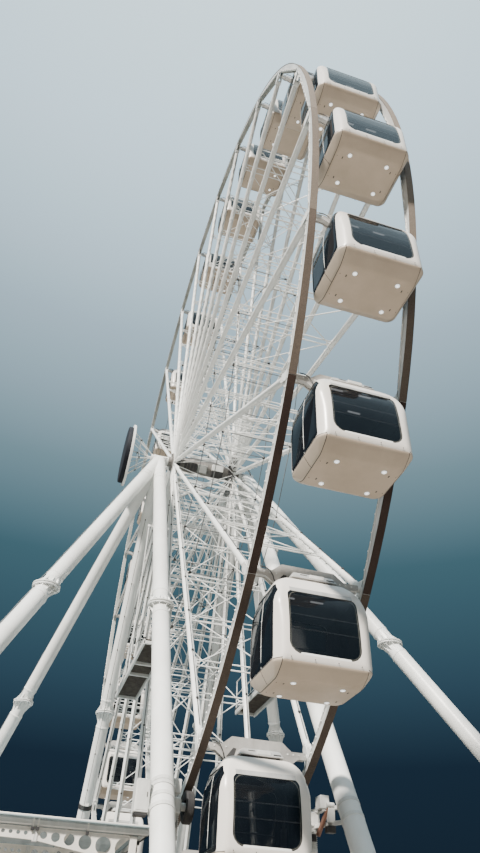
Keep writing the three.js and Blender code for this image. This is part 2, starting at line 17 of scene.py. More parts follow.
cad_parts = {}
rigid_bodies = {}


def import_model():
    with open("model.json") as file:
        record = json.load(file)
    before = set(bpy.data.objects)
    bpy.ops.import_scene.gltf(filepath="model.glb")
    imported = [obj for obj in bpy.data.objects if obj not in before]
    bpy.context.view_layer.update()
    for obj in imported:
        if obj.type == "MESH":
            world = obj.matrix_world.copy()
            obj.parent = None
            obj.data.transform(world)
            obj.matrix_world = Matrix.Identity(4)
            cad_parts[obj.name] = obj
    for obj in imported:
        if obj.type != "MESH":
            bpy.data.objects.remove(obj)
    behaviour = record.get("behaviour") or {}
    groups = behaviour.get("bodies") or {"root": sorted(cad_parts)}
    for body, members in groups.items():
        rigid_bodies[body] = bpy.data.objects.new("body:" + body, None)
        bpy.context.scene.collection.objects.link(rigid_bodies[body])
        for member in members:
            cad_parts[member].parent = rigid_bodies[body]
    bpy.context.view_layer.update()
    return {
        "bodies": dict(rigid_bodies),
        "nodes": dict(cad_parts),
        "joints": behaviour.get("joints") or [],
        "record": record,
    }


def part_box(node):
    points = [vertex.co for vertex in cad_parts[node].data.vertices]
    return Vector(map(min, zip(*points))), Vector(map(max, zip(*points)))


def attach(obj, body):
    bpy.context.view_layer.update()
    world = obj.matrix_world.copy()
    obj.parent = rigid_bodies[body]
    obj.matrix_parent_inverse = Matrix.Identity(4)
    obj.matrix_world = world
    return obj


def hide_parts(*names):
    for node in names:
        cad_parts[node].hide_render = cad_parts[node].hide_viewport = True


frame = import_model()
joints = {joint["child"]: Vector(joint["pos_m"]) for joint in frame["joints"]}
mounts = {mount["name"]: Vector(mount["pos_m"]) for mount in frame["record"]["mounts"]}

# %% [markdown]
# The driving sizes come from the frame itself: the axle's height from the wheel's joint, the rim from the
# ring's box, and each cabin's angle from its own pivot. Angles on the wheel are measured from the front (-Y)
# towards the top (+Z), so one small function turns an angle and a radius into a place.

# %% Sizes read from the frame
AXLE_HEIGHT = joints["wheel"].z
SIDES = {"left": -1, "right": 1}
ENDS = {"front": -1, "back": 1}
ring_low, ring_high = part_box("ring_right")
RIM_RADIUS = (ring_high.z - ring_low.z) / 2
RING_X = (ring_low.x + ring_high.x) / 2
RING_WIDTH = ring_high.x - ring_low.x
CABINS = sorted(body for body in frame["bodies"] if body.startswith("cabin_"))
FIRST_PIVOT = joints[CABINS[0]]
PIVOT_RADIUS = math.hypot(FIRST_PIVOT.y, FIRST_PIVOT.z - AXLE_HEIGHT)
REST_ANGLE = math.atan2(FIRST_PIVOT.z - AXLE_HEIGHT, -FIRST_PIVOT.y)
STEP = 2 * math.pi / len(CABINS)


def forward(angle):
    return Vector((0, math.sin(angle), math.cos(angle)))


def on_wheel(x, radius, angle, along_rim=0):
    """A place on the wheel, by its radius and angle, and a step along the rim if one is given."""
    place = Vector((x, -radius * math.cos(angle), AXLE_HEIGHT + radius * math.sin(angle)))
    return place + forward(angle) * along_rim


def cabin_angle(index):
    return REST_ANGLE + index * STEP


CABIN_ANGLES = [cabin_angle(k) for k in range(len(CABINS))]

print(f"rim radius {RIM_RADIUS:.2f} m, axle at {AXLE_HEIGHT:.2f} m, {len(CABINS)} cabins")

# %% [markdown]
# The photograph is taken from the ground in front of the boarding side, close to the wheel and looking
# steeply up. The three directions below are the camera's view, right and up, found by fitting the known
# points of the wheel to the picture.

# %% Camera
EYE = (-5.573, -26.203, 1.60)
VIEW = Vector((0.20671, 0.73534, 0.64540))
RIGHT = Vector((0.95372, -0.29868, 0.03484))
UP = Vector((-0.21839, -0.60833, 0.76305))
LENS_MM = 28.28
SENSOR_MM = 36

scene = bpy.context.scene
camera_data = bpy.data.cameras.new("camera")
camera_data.lens = LENS_MM
camera_data.sensor_width = SENSOR_MM
camera_data.clip_end = 500
camera = bpy.data.objects.new("camera", camera_data)
camera.matrix_world = Matrix.Translation(EYE) @ Matrix((RIGHT, UP, -VIEW)).transposed().to_4x4()
scene.collection.objects.link(camera)
scene.camera = camera
print("camera at", EYE)

# %% [markdown]
# Paint outdoors is never one flat colour. Rain carries dust down every tube, and gloss fades unevenly. The
# helper below makes a painted finish from two noises: a large one that mixes a clean and a worn colour, and
# a fine one for roughness and a slight bump. Both read Object coordinates, which are metres here.

# %% Material helper
STREAK = (1, 1, 0.35)
FINE_SCALE = 14


def add_node(tree, kind, **settings):
    node = tree.nodes.new(kind)
    for key, value in settings.items():
        if key in node.inputs.keys():
            node.inputs[key].default_value = value
        else:
            setattr(node, key, value)
    return node


def two_colours(tree, factor, clean, worn, start=0.38, end=0.72):
    ramp = add_node(tree, "ShaderNodeValToRGB")
    first, last = ramp.color_ramp.elements
    first.position, last.position = start, end
    first.color, last.color = (*clean, 1), (*worn, 1)
    tree.links.new(factor, ramp.inputs["Fac"])
    return ramp.outputs["Color"]


def mapped(tree, value, low, high, start=0.0, end=1.0):
    """Turns a value between start and end into one between low and high."""
    made = add_node(tree, "ShaderNodeMapRange")
    for socket, number in zip(("From Min", "From Max", "To Min", "To Max"), (start, end, low, high)):
        made.inputs[socket].default_value = number
    tree.links.new(value, made.inputs["Value"])
    return made.outputs["Result"]


def painted(name, clean, worn, rough, patch, bump, **shader_values):
    material = bpy.data.materials.new(name)
    material.use_nodes = True
    tree = material.node_tree
    shader = tree.nodes["Principled BSDF"]
    for socket, value in shader_values.items():
        shader.inputs[socket.replace("_", " ")].default_value = value
    place = add_node(tree, "ShaderNodeTexCoord")
    mapping = add_node(tree, "ShaderNodeMapping")
    mapping.inputs["Scale"].default_value = STREAK
    tree.links.new(place.outputs["Object"], mapping.inputs["Vector"])
    patches = add_node(tree, "ShaderNodeTexNoise", Scale=patch, Detail=6.0, Roughness=0.65)
    tree.links.new(mapping.outputs["Vector"], patches.inputs["Vector"])
    tree.links.new(two_colours(tree, patches.outputs["Fac"], clean, worn), shader.inputs["Base Color"])
    fine = add_node(tree, "ShaderNodeTexNoise", Scale=patch * FINE_SCALE, Detail=4.0)
    tree.links.new(place.outputs["Object"], fine.inputs["Vector"])
    tree.links.new(mapped(tree, fine.outputs["Fac"], *rough), shader.inputs["Roughness"])
    relief = add_node(tree, "ShaderNodeBump", Strength=0.25, Distance=bump)
    tree.links.new(fine.outputs["Fac"], relief.inputs["Height"])
    tree.links.new(relief.outputs["Normal"], shader.inputs["Normal"])
    return material


# %% [markdown]
# The finishes are named for what they cover. Each has a clean and a worn colour, the range of its roughness,
# the scale of its patches and the depth of its bump. The tubes are cool white gloss with faint grey streaks,
# and the cabins are warmer. Their undersides and skirts are beige as painted shade, for the shade under the
# cabins and the warm light that the floor throws up, and their insides are near black as painted shade.

# %% Paints and plastics
WHITE_STEEL = painted("white_steel", (0.86, 0.88, 0.87), (0.70, 0.71, 0.69), (0.28, 0.45), 0.9, bump=0.004)
GIRDER_WHITE = painted("girder_white", (0.66, 0.67, 0.66), (0.46, 0.47, 0.46), (0.3, 0.5), 1.6, bump=0.004)
GIRDER_SHADE = painted("girder_shade", (0.40, 0.42, 0.40), (0.22, 0.24, 0.22), (0.4, 0.6), 1.1, bump=0.004)
CABIN_WHITE = painted("cabin_white", (0.76, 0.73, 0.69), (0.64, 0.61, 0.57), (0.26, 0.38), 0.6,
                      bump=0.0005, Coat_Weight=0.15, Coat_Roughness=0.2)
# Painted shade: the cabin's undersides and skirts are a darker warm beige for the shade under the cabin.
CABIN_UNDERSIDE_SHADE = painted("cabin_beige", (0.53, 0.43, 0.34), (0.43, 0.345, 0.265), (0.3, 0.5), 0.9, bump=0.001)
CABIN_SKIRT_SHADE = painted("cabin_skirt", (0.60, 0.51, 0.42), (0.50, 0.42, 0.34), (0.3, 0.5), 0.9, bump=0.001)
# Painted shade: the inside of a cabin is near black.
INSIDE_SHADE = painted("cabin_inside", (0.05, 0.05, 0.055), (0.025, 0.025, 0.03), (0.5, 0.7), 2, bump=0.002)
BLACK = painted("black_plastic", (0.02, 0.02, 0.022), (0.06, 0.06, 0.06), (0.4, 0.6), 3, bump=0.002)
BULB = painted("bulb_white", (0.88, 0.9, 0.9), (0.74, 0.76, 0.75), (0.2, 0.35), 4, bump=0.001)
LAMP = painted("lamp_white", (0.9, 0.92, 0.92), (0.84, 0.86, 0.86), (0.2, 0.35), 4, bump=0.001,
               Emission_Color=(0.95, 0.98, 1.0, 1), Emission_Strength=1.1)
CHROME = painted("rail_metal", (0.8, 0.8, 0.8), (0.6, 0.6, 0.6), (0.2, 0.35), 4, bump=0.001, Metallic=0.6)
GALVANISED = painted("galvanised_steel", (0.52, 0.53, 0.54), (0.33, 0.34, 0.35), (0.35, 0.6), 6,
                     bump=0.003, Metallic=0.7)
TIE_STEEL = painted("tie_steel", (0.16, 0.17, 0.17), (0.08, 0.085, 0.09), (0.4, 0.6), 5, bump=0.001)
HUB_GREY = painted("hub_grey", (0.24, 0.23, 0.215), (0.10, 0.095, 0.09), (0.4, 0.7), 3.5, bump=0.004)
DARK_GRATING = painted("dark_grating", (0.15, 0.135, 0.12), (0.07, 0.062, 0.056), (0.5, 0.8), 5, bump=0.003)
MACHINE_GREY = painted("machine_grey", (0.72, 0.73, 0.71), (0.5, 0.51, 0.5), (0.35, 0.55), 3, bump=0.003)
RUBBER = painted("tyre_rubber", (0.022, 0.022, 0.024), (0.06, 0.057, 0.053), (0.7, 0.95), 5, bump=0.004)
CANOPY_WHITE = painted("canopy_white", (0.76, 0.74, 0.69), (0.6, 0.58, 0.54), (0.35, 0.5), 1.6, bump=0.003)
POST_BROWN = painted("post_brown", (0.24, 0.12, 0.08), (0.14, 0.07, 0.05), (0.4, 0.6), 3, bump=0.003)
ROOF_SHEET = painted("roof_sheet", (0.42, 0.54, 0.58), (0.30, 0.38, 0.42), (0.12, 0.3), 1.2,
                     bump=0.002, Alpha=0.8)
YOKE_METAL = painted("yoke_metal", (0.60, 0.59, 0.57), (0.34, 0.33, 0.32), (0.22, 0.42), 1.8, bump=0.002,
                     Metallic=0.4)
SIGN_DARK = painted("sign_dark", (0.012, 0.014, 0.02), (0.03, 0.033, 0.04), (0.6, 0.8), 1.2, bump=0.001,
                    Specular_IOR_Level=0.15)
SIGN_BACK = painted("sign_back", (0.16, 0.13, 0.12), (0.08, 0.07, 0.065), (0.5, 0.7), 2.5, bump=0.002)
print(len(bpy.data.materials), "finishes")

# %% [markdown]
# The brown face of the rings isn't one tone. Each length has its own paint and wear, and over that painted
# light: darker where the face turns down into shade, lighter where it faces the sky. A point attribute
# called tone says how light each length is. The finish reads it and adds fine mottling, as rubber dust does.

# %% A running face that changes from length to length
def running_face():
    material = painted("running_band", (0.070, 0.034, 0.024), (0.11, 0.058, 0.042), (0.5, 0.75), 2.5,
                       bump=0.004, Specular_IOR_Level=0.25)
    tree = material.node_tree
    shader = tree.nodes["Principled BSDF"]
    old = shader.inputs["Base Color"].links[0].from_socket
    tone = add_node(tree, "ShaderNodeAttribute", attribute_name="tone")
    light = two_colours(tree, tone.outputs["Fac"], (0.012, 0.009, 0.009), (0.34, 0.30, 0.25), 0.0, 1.0)
    mix = add_node(tree, "ShaderNodeMix", data_type="RGBA", blend_type="MIX")
    mix.inputs["Factor"].default_value = 0.7
    tree.links.new(old, mix.inputs["A"])
    tree.links.new(light, mix.inputs["B"])
    speckle = add_node(tree, "ShaderNodeTexNoise", Scale=26.0, Detail=5.0, Roughness=0.8)
    place = tree.nodes["Texture Coordinate"]
    tree.links.new(place.outputs["Object"], speckle.inputs["Vector"])
    worn = add_node(tree, "ShaderNodeMix", data_type="RGBA", blend_type="OVERLAY")
    worn.inputs["Factor"].default_value = 0.55
    tree.links.new(mix.outputs["Result"], worn.inputs["A"])
    grey = two_colours(tree, speckle.outputs["Fac"], (0.3, 0.3, 0.3), (0.72, 0.72, 0.70), 0.35, 0.65)
    tree.links.new(grey, worn.inputs["B"])
    tree.links.new(worn.outputs["Result"], shader.inputs["Base Color"])
    return material


BAND = running_face()
print("running band reads the attribute tone")

# %% [markdown]
# The cabin windows are smoked glass with a black printed border. Every pane carries its place in the cabin
# as an attribute, so one finish draws the border and the thin grey line inside it on every pane of every
# cabin; that grey line is a painted highlight along the border's edge. The glass lets some light through, so
# the ceiling and the rails inside can be made out. The door panes, which are seen at a flat angle, mirror
# less of the sky than the windows.

# %% Smoked glass with a printed border
GLASS_MIDDLE_Z = -1.445
GLASS_HALF_X = 0.81
GLASS_HALF_Z = 0.735
GLASS_CORNER = 0.26
BORDER = 0.035
BORDER_LINE = 0.009
# The fine line's grey is a painted highlight.
BORDER_HIGHLIGHT_GREY = (0.16, 0.16, 0.14, 1)
WINDOW_SHINE, DOOR_SHINE = 0.42, 0.04
SHINE_CHANGE = (0.82, 0.90)
CLEAR_ALPHA = 0.62


def border_masks(tree, across, up):
    """Where the border's fine line and the clear middle of a window lie, by the distance to its edge."""
    def math_node(operation, *values):
        made = add_node(tree, "ShaderNodeMath", operation=operation)
        for socket, value in zip(made.inputs, values):
            if isinstance(value, (int, float)):
                socket.default_value = value
            else:
                tree.links.new(value, socket)
        return made.outputs["Value"]
    side = math_node("SUBTRACT", math_node("ABSOLUTE", across), GLASS_HALF_X - GLASS_CORNER)
    lift = math_node("ABSOLUTE", math_node("SUBTRACT", up, GLASS_MIDDLE_Z))
    lift = math_node("SUBTRACT", lift, GLASS_HALF_Z - GLASS_CORNER)
    squares = [math_node("POWER", math_node("MAXIMUM", value, 0.0), 2.0) for value in (side, lift)]
    corner = math_node("SQRT", math_node("ADD", *squares))
    flat = math_node("MINIMUM", math_node("MAXIMUM", side, lift), 0.0)
    inside = math_node("SUBTRACT", GLASS_CORNER, math_node("ADD", corner, flat))
    line = math_node("COMPARE", inside, BORDER, BORDER_LINE / 2)
    clear = math_node("GREATER_THAN", inside, BORDER)
    return line, clear


def smoked_glass():
    material = painted("tinted_glass", (0.004, 0.006, 0.009), (0.008, 0.011, 0.015), (0.02, 0.05), 0.7,
                       bump=0)
    tree = material.node_tree
    shader = tree.nodes["Principled BSDF"]
    old = shader.inputs["Base Color"].links[0].from_socket
    local = add_node(tree, "ShaderNodeAttribute", attribute_name="cabin_place")
    parts = add_node(tree, "ShaderNodeSeparateXYZ")
    tree.links.new(local.outputs["Vector"], parts.inputs["Vector"])
    line, clear = border_masks(tree, parts.outputs["X"], parts.outputs["Z"])
    mix = add_node(tree, "ShaderNodeMix", data_type="RGBA")
    tree.links.new(line, mix.inputs["Factor"])
    tree.links.new(old, mix.inputs["A"])
    mix.inputs["B"].default_value = BORDER_HIGHLIGHT_GREY
    tree.links.new(mix.outputs["Result"], shader.inputs["Base Color"])
    reach = add_node(tree, "ShaderNodeMath", operation="ABSOLUTE")
    tree.links.new(parts.outputs["X"], reach.inputs[0])
    shine = mapped(tree, reach.outputs["Value"], WINDOW_SHINE, DOOR_SHINE, *SHINE_CHANGE)
    tree.links.new(shine, shader.inputs["Specular IOR Level"])
    tree.links.new(mapped(tree, clear, 1.0, CLEAR_ALPHA), shader.inputs["Alpha"])
    return material


GLASS = smoked_glass()
print("glass border", BORDER, "m wide")

# %% [markdown]
# Nearly everything on the wheel is a tube, a bar, a turned shape or a cut plate. `Form` gathers such closed
# shells into one mesh. Each shell is given once as corners and faces, so a frame with hundreds of tubes is
# a loop and still one object. A shell may also carry a finish number and a tone.

# %% A mesh under construction
class Form:
    def __init__(self):
        self.corners = []
        self.faces = []
        self.finishes = []
        self.tones = []

    def add(self, corners, faces, finish=0, tone=0.5):
        start = len(self.corners)
        self.corners.extend(Vector(corner) for corner in corners)
        self.faces.extend(tuple(start + i for i in face) for face in faces)
        self.finishes.extend([finish] * len(faces))
        self.tones.extend([tone] * len(corners))

    def mesh(self, name):
        made = bpy.data.meshes.new(name)
        made.from_pydata([tuple(corner) for corner in self.corners], [], self.faces)
        made.polygons.foreach_set("material_index", self.finishes)
        tones = made.attributes.new("tone", "FLOAT", "POINT")
        tones.data.foreach_set("value", self.tones)
        tidy(made)
        return made


def tidy(mesh, sharp=35):
    """Points every face outwards and keeps edges sharper than the angle crisp."""
    work = bmesh.new()
    work.from_mesh(mesh)
    bmesh.ops.recalc_face_normals(work, faces=work.faces)
    work.to_mesh(mesh)
    work.free()
    mesh.shade_smooth()
    mesh.set_sharp_from_angle(angle=math.radians(sharp))


def rings_to_shell(form, rings, closed=False, finish=0, tone=0.5):
    """Joins equal rings of corners in order; the ends are capped, or joined to each other when closed."""
    count = len(rings[0])
    corners = [corner for ring in rings for corner in ring]
    spans = len(rings) if closed else len(rings) - 1
    faces = []
    for i in range(spans):
        a = i * count
        b = ((i + 1) % len(rings)) * count
        faces.extend((a + k, a + (k + 1) % count, b + (k + 1) % count, b + k) for k in range(count))
    if not closed:
        faces.append(tuple(reversed(range(count))))
        faces.append(tuple(range((len(rings) - 1) * count, len(rings) * count)))
    form.add(corners, faces, finish, tone)


def axes(direction, hint=Vector((1, 0, 0))):
    along = direction.normalized()
    if abs(along.dot(hint.normalized())) > 0.95:
        hint = Vector((0, 1, 0)) if abs(along.y) < 0.9 else Vector((0, 0, 1))
    side = (hint - along * hint.dot(along)).normalized()
    return side, along.cross(side).normalized(), along


def turned(form, origin, direction, profile, sides=24, closed=False, finish=0, end_level=None):
    """A lathe: profile is a list of (radius, distance along the direction).
    With an end level, the last ring is slid along the axis onto that height."""
    side, third, along = axes(Vector(direction))
    rings = []
    for radius, distance in profile:
        centre = Vector(origin) + along * distance
        turns = [2 * math.pi * k / sides for k in range(sides)]
        rings.append([centre + (side * math.cos(t) + third * math.sin(t)) * radius for t in turns])
    if end_level is not None:
        rings[-1] = [corner + along * ((end_level - corner.z) / along.z) for corner in rings[-1]]
    rings_to_shell(form, rings, closed, finish)


def rod(form, a, b, radius, sides=12, finish=0):
    a, b = Vector(a), Vector(b)
    turned(form, a, b - a, [(radius, 0), (radius, (b - a).length)], sides, finish=finish)


def bar(form, a, b, width, depth, edge=0.006, hint=Vector((1, 0, 0)), finish=0):
    """A rectangular bar with chamfered edges; its width lies towards the hint."""
    a, b = Vector(a), Vector(b)
    side, third, along = axes(b - a, Vector(hint))
    length = (b - a).length
    rings = []
    for distance, inset in ((0, edge), (edge, 0), (length - edge, 0), (length, edge)):
        w, d = width / 2 - inset, depth / 2 - inset
        outline = [(w, d - edge), (w - edge, d), (edge - w, d), (-w, d - edge),
                   (-w, edge - d), (edge - w, -d), (w - edge, -d), (w, edge - d)]
        rings.append([a + along * distance + side * u + third * v for u, v in outline])
    rings_to_shell(form, rings, finish=finish)


def block(form, low, high, edge=0.006, finish=0):
    low, high = Vector(low), Vector(high)
    middle = (low + high) / 2
    bar(form, (middle.x, middle.y, low.z), (middle.x, middle.y, high.z),
        high.x - low.x, high.y - low.y, edge, finish=finish)


def side_block(form, side, low, high, edge, finish=0, axis=1):
    """A block given for the positive side of an axis, or its mirror image for side -1."""
    low, high = list(low), list(high)
    low[axis], high[axis] = sorted((side * low[axis], side * high[axis]))
    block(form, low, high, edge, finish)


def plate(form, outline, start, end, finish=0):
    """A flat plate: one outline of points, pushed from start to end."""
    rings_to_shell(form, [[Vector(p) + Vector(start) for p in outline],
                          [Vector(p) + Vector(end) for p in outline]], finish=finish)


print("form helpers ready")

# %% [markdown]
# A finished object must ride on the body that carries it, and the CAD nodes that it stands for are hidden.
# One function does this hand-over for every piece, so no piece is forgotten.

# %% Hand-over to the frame
triangle_total = 0


def triangles(mesh):
    return sum(len(face.vertices) - 2 for face in mesh.polygons)


def make_piece(name, shape, materials, body, replaces=(), quiet=False):
    global triangle_total
    mesh = shape.mesh(name) if isinstance(shape, Form) else shape
    numbers = [face.material_index for face in mesh.polygons]
    mesh.materials.clear()
    for material in materials:
        mesh.materials.append(material)
    mesh.polygons.foreach_set("material_index", numbers)
    obj = bpy.data.objects.new(name, mesh)
    scene.collection.objects.link(obj)
    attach(obj, body)
    if replaces:
        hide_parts(*replaces)
    triangle_total += triangles(mesh)
    if not quiet:
        print(f"{name}: {triangles(mesh)} triangles on {body}")
    return obj


# %% [markdown]
# Bolts, bulbs and clamps repeat thousands of times. Geometry Nodes suit them: a plain mesh of points says
# where they are, an attribute says which way each one faces, and the tree puts a small shape on every point.
# The tree ends in Realize Instances, and the evaluated result becomes a plain mesh.

# %% Node trees for studs and ropes
def new_tree(name, **sizes):
    """An empty tree with a geometry input and output, the named sizes and a material."""
    tree = bpy.data.node_groups.new(name, "GeometryNodeTree")
    tree.interface.new_socket("Geometry", in_out="INPUT", socket_type="NodeSocketGeometry")
    for key, kind in sizes.items():
        tree.interface.new_socket(key.replace("_", " "), in_out="INPUT", socket_type=kind)
    tree.interface.new_socket("Material", in_out="INPUT", socket_type="NodeSocketMaterial")
    tree.interface.new_socket("Geometry", in_out="OUTPUT", socket_type="NodeSocketGeometry")
    return tree, add_node(tree, "NodeGroupInput")


def end_tree(tree, source, geometry):
    real = add_node(tree, "GeometryNodeRealizeInstances")
    coat = add_node(tree, "GeometryNodeSetMaterial")
    result = add_node(tree, "NodeGroupOutput")
    tree.links.new(geometry, real.inputs["Geometry"])
    tree.links.new(real.outputs["Geometry"], coat.inputs["Geometry"])
    tree.links.new(source.outputs["Material"], coat.inputs["Material"])
    tree.links.new(coat.outputs["Geometry"], result.inputs["Geometry"])
    return tree


def stud_tree():
    tree, source = new_tree("studs", Foot_radius="NodeSocketFloat", Top_radius="NodeSocketFloat",
                            Height="NodeSocketFloat", Corners="NodeSocketInt")
    cone = add_node(tree, "GeometryNodeMeshCone")
    points = add_node(tree, "GeometryNodeMeshToPoints")
    facing = add_node(tree, "GeometryNodeInputNamedAttribute", data_type="FLOAT_VECTOR", Name="facing")
    turn = add_node(tree, "FunctionNodeAlignRotationToVector", axis="Z")
    place = add_node(tree, "GeometryNodeInstanceOnPoints")
    link = tree.links.new
    link(source.outputs["Foot radius"], cone.inputs["Radius Bottom"])
    link(source.outputs["Top radius"], cone.inputs["Radius Top"])
    link(source.outputs["Height"], cone.inputs["Depth"])
    link(source.outputs["Corners"], cone.inputs["Vertices"])
    link(source.outputs["Geometry"], points.inputs["Mesh"])
    link(facing.outputs["Attribute"], turn.inputs["Vector"])
    link(points.outputs["Points"], place.inputs["Points"])
    link(cone.outputs["Mesh"], place.inputs["Instance"])
    link(turn.outputs["Rotation"], place.inputs["Rotation"])
    return end_tree(tree, source, place.outputs["Instances"])


def rope_tree():
    tree, source = new_tree("ropes", Radius="NodeSocketFloat", Corners="NodeSocketInt")
    path = add_node(tree, "GeometryNodeMeshToCurve")
    section = add_node(tree, "GeometryNodeCurvePrimitiveCircle")
    skin = add_node(tree, "GeometryNodeCurveToMesh")
    skin.inputs["Fill Caps"].default_value = True
    link = tree.links.new
    link(source.outputs["Geometry"], path.inputs["Mesh"])
    link(source.outputs["Radius"], section.inputs["Radius"])
    link(source.outputs["Corners"], section.inputs["Resolution"])
    link(path.outputs["Curve"], skin.inputs["Curve"])
    link(section.outputs["Curve"], skin.inputs["Profile Curve"])
    return end_tree(tree, source, skin.outputs["Mesh"])


STUDS = stud_tree()
ROPES = rope_tree()


def evaluated_mesh(obj, name):
    """The mesh that an object's modifiers make, as plain data; the object itself is removed."""
    bpy.context.view_layer.update()
    graph = bpy.context.evaluated_depsgraph_get()
    made = bpy.data.meshes.new_from_object(obj.evaluated_get(graph), preserve_all_data_layers=True,
                                           depsgraph=graph)
    made.name = name
    bpy.data.objects.remove(obj)
    return made


def with_nodes(name, mesh, tree, **inputs):
    obj = bpy.data.objects.new(name, mesh)
    scene.collection.objects.link(obj)
    modifier = obj.modifiers.new("nodes", "NODES")
    modifier.node_group = tree
    for item in tree.interface.items_tree:
        key = item.name.replace(" ", "_")
        if item.in_out == "INPUT" and key in inputs:
            modifier[item.identifier] = inputs[key]
    made = evaluated_mesh(obj, name)
    tidy(made)
    return made


def studs(name, places, radius, height, material, body, corners=6, top=1.0, quiet=False):
    """Small cones or bolt heads: places is a list of (foot, facing)."""
    mesh = bpy.data.meshes.new(name)
    mesh.from_pydata([tuple(foot) for foot, facing in places], [], [])
    attribute = mesh.attributes.new("facing", "FLOAT_VECTOR", "POINT")
    attribute.data.foreach_set("vector", [c for foot, facing in places for c in facing])
    made = with_nodes(name, mesh, STUDS, Foot_radius=radius, Top_radius=radius * top, Height=height,
                      Corners=corners, Material=material)
    return make_piece(name, made, [material], body, quiet=quiet)


def ropes(name, paths, radius, material, body, corners=6, quiet=False):
    """Cables and thin rods: every path is a list of points, closed if it ends where it starts."""
    points = []
    edges = []
    for path in paths:
        start = len(points)
        closed = (Vector(path[0]) - Vector(path[-1])).length < 1e-6
        kept = path[:-1] if closed else path
        points.extend(tuple(p) for p in kept)
        edges.extend((start + i, start + i + 1) for i in range(len(kept) - 1))
        if closed:
            edges.append((start + len(kept) - 1, start))
    mesh = bpy.data.meshes.new(name)
    mesh.from_pydata(points, edges, [])
    made = with_nodes(name, mesh, ROPES, Radius=radius, Corners=corners, Material=material)
    return make_piece(name, made, [material], body, quiet=quiet)


print("stud tree with", len(STUDS.nodes), "nodes, rope tree with", len(ROPES.nodes))

# %% [markdown]
# ## The rings
#
# Each ring is a box girder in 24 lengths, one between every two cabins. Its outer face is round, because
# the drive tyres run on it, and its inner face is straight from cabin to cabin. So one length is a row of
# cross-sections: the outer radius stays, and the inner one follows the straight line.

# %% Ring girders
RING_SUBSTEPS = 6
FLANGE_CORNER = 17.85
BAND_THICKNESS = 0.014
FLANGE_THICKNESS = 0.012
LIP = 0.012
SEAM = 0.012
SEAM_PLATE = 0.11
SEAM_PLATE_RADIUS = 17.92
SEAM_PLATE_SIZE = (0.016, 0.12)
HALF_RING = RING_WIDTH / 2


def chord_radius(turn, corner=FLANGE_CORNER):
    """The radius of the straight inner face, at an angle measured from the middle of a length."""
    return corner * math.cos(STEP / 2) / math.cos(turn)


def ring_length(form, x0, x1, start, inner, outer, seam, finish=0, tone=0.5):
    half = STEP / 2 - seam / RIM_RADIUS / 2
    rings = []
    for i in range(RING_SUBSTEPS + 1):
        turn = -half + 2 * half * i / RING_SUBSTEPS
        angle = start + STEP / 2 + turn
        low, high = inner(turn), outer(turn)
        rings.append([on_wheel(x0, low, angle), on_wheel(x1, low, angle),
                      on_wheel(x1, high, angle), on_wheel(x0, high, angle)])
    rings_to_shell(form, rings, finish=finish, tone=tone)


def ring_girder(side):
    form = Form()
    x = side * RING_X
    band_foot = RIM_RADIUS - BAND_THICKNESS
    for start in CABIN_ANGLES:
        ring_length(form, x - HALF_RING + LIP, x + HALF_RING - LIP, start,
                    lambda turn: chord_radius(turn) + FLANGE_THICKNESS * 0.5,
                    lambda turn: band_foot, 0, 0)
        ring_length(form, x - HALF_RING, x + HALF_RING, start, chord_radius,
                    lambda turn: chord_radius(turn) + FLANGE_THICKNESS, 0, 1)
        for offset in (-SEAM_PLATE, SEAM_PLATE):
            angle = start + offset / RIM_RADIUS
            bar(form, on_wheel(x - HALF_RING + 0.002, SEAM_PLATE_RADIUS, angle),
                on_wheel(x + HALF_RING - 0.002, SEAM_PLATE_RADIUS, angle), *SEAM_PLATE_SIZE, 0.003,
                hint=forward(angle))
    return form


print("a length's inner face lies", round(RIM_RADIUS - chord_radius(0), 3), "m inside the rim at its middle")

# %% [markdown]
# The tone of each length follows the picture, partly the length's own paint and partly painted light: brown
# low at the front and nearly black above it, where the face turns down into shade and takes brown light from
# the ground, then greyer and lighter as the face turns to the sky, a painted skylight. The back of the wheel
# repeats the same row of tones.

# %% Running bands
BAND_TONES_AND_LIGHT = [0.30, 0.26, 0.20, 0.02, 0.34, 0.62, 0.74, 0.66, 0.58, 0.70, 0.48, 0.60]


def ring_band(side):
    form = Form()
    x = side * RING_X
    for k, start in enumerate(CABIN_ANGLES):
        ring_length(form, x - HALF_RING, x + HALF_RING, start, lambda turn: RIM_RADIUS - BAND_THICKNESS,
                    lambda turn: RIM_RADIUS, SEAM, tone=BAND_TONES_AND_LIGHT[k % len(BAND_TONES_AND_LIGHT)])
    return form


for name, side in SIDES.items():
    make_piece(f"ring_{name}_girder", ring_girder(side), [GIRDER_WHITE, GIRDER_SHADE], "wheel",
               [f"ring_{name}"])
    make_piece(f"ring_{name}_band", ring_band(side), [BAND], "wheel")

# %% [markdown]
# A rope of small lamps runs along both faces of each ring, close to its inner edge. The rope is a wavy line
# turned into a thin tube, and the lamps are studs on it. It stops short of every pivot pin.

# %% Lamp ropes on the rings
ROPE_RADIUS = 0.010
WAVE = 0.022
ROPE_EDGE = 0.045
BULBS_PER_LENGTH = 18
PIN_CLEARANCE = 0.30
BULB_RADIUS = 0.026
BULB_HEIGHT = 0.026


def ring_rope(x, start):
    """One length of rope: points and lamp places between two pivots."""
    points = []
    first = PIN_CLEARANCE / PIVOT_RADIUS
    steps = 2 * BULBS_PER_LENGTH
    for i in range(steps + 1):
        turn = first + (STEP - 2 * first) * i / steps
        low = chord_radius(turn - STEP / 2) + ROPE_EDGE
        wave = WAVE * (1, -1)[(i // 2) % 2] if i % 2 == 0 else 0
        points.append(on_wheel(x, low + wave, start + turn))
    return points, points[::2]


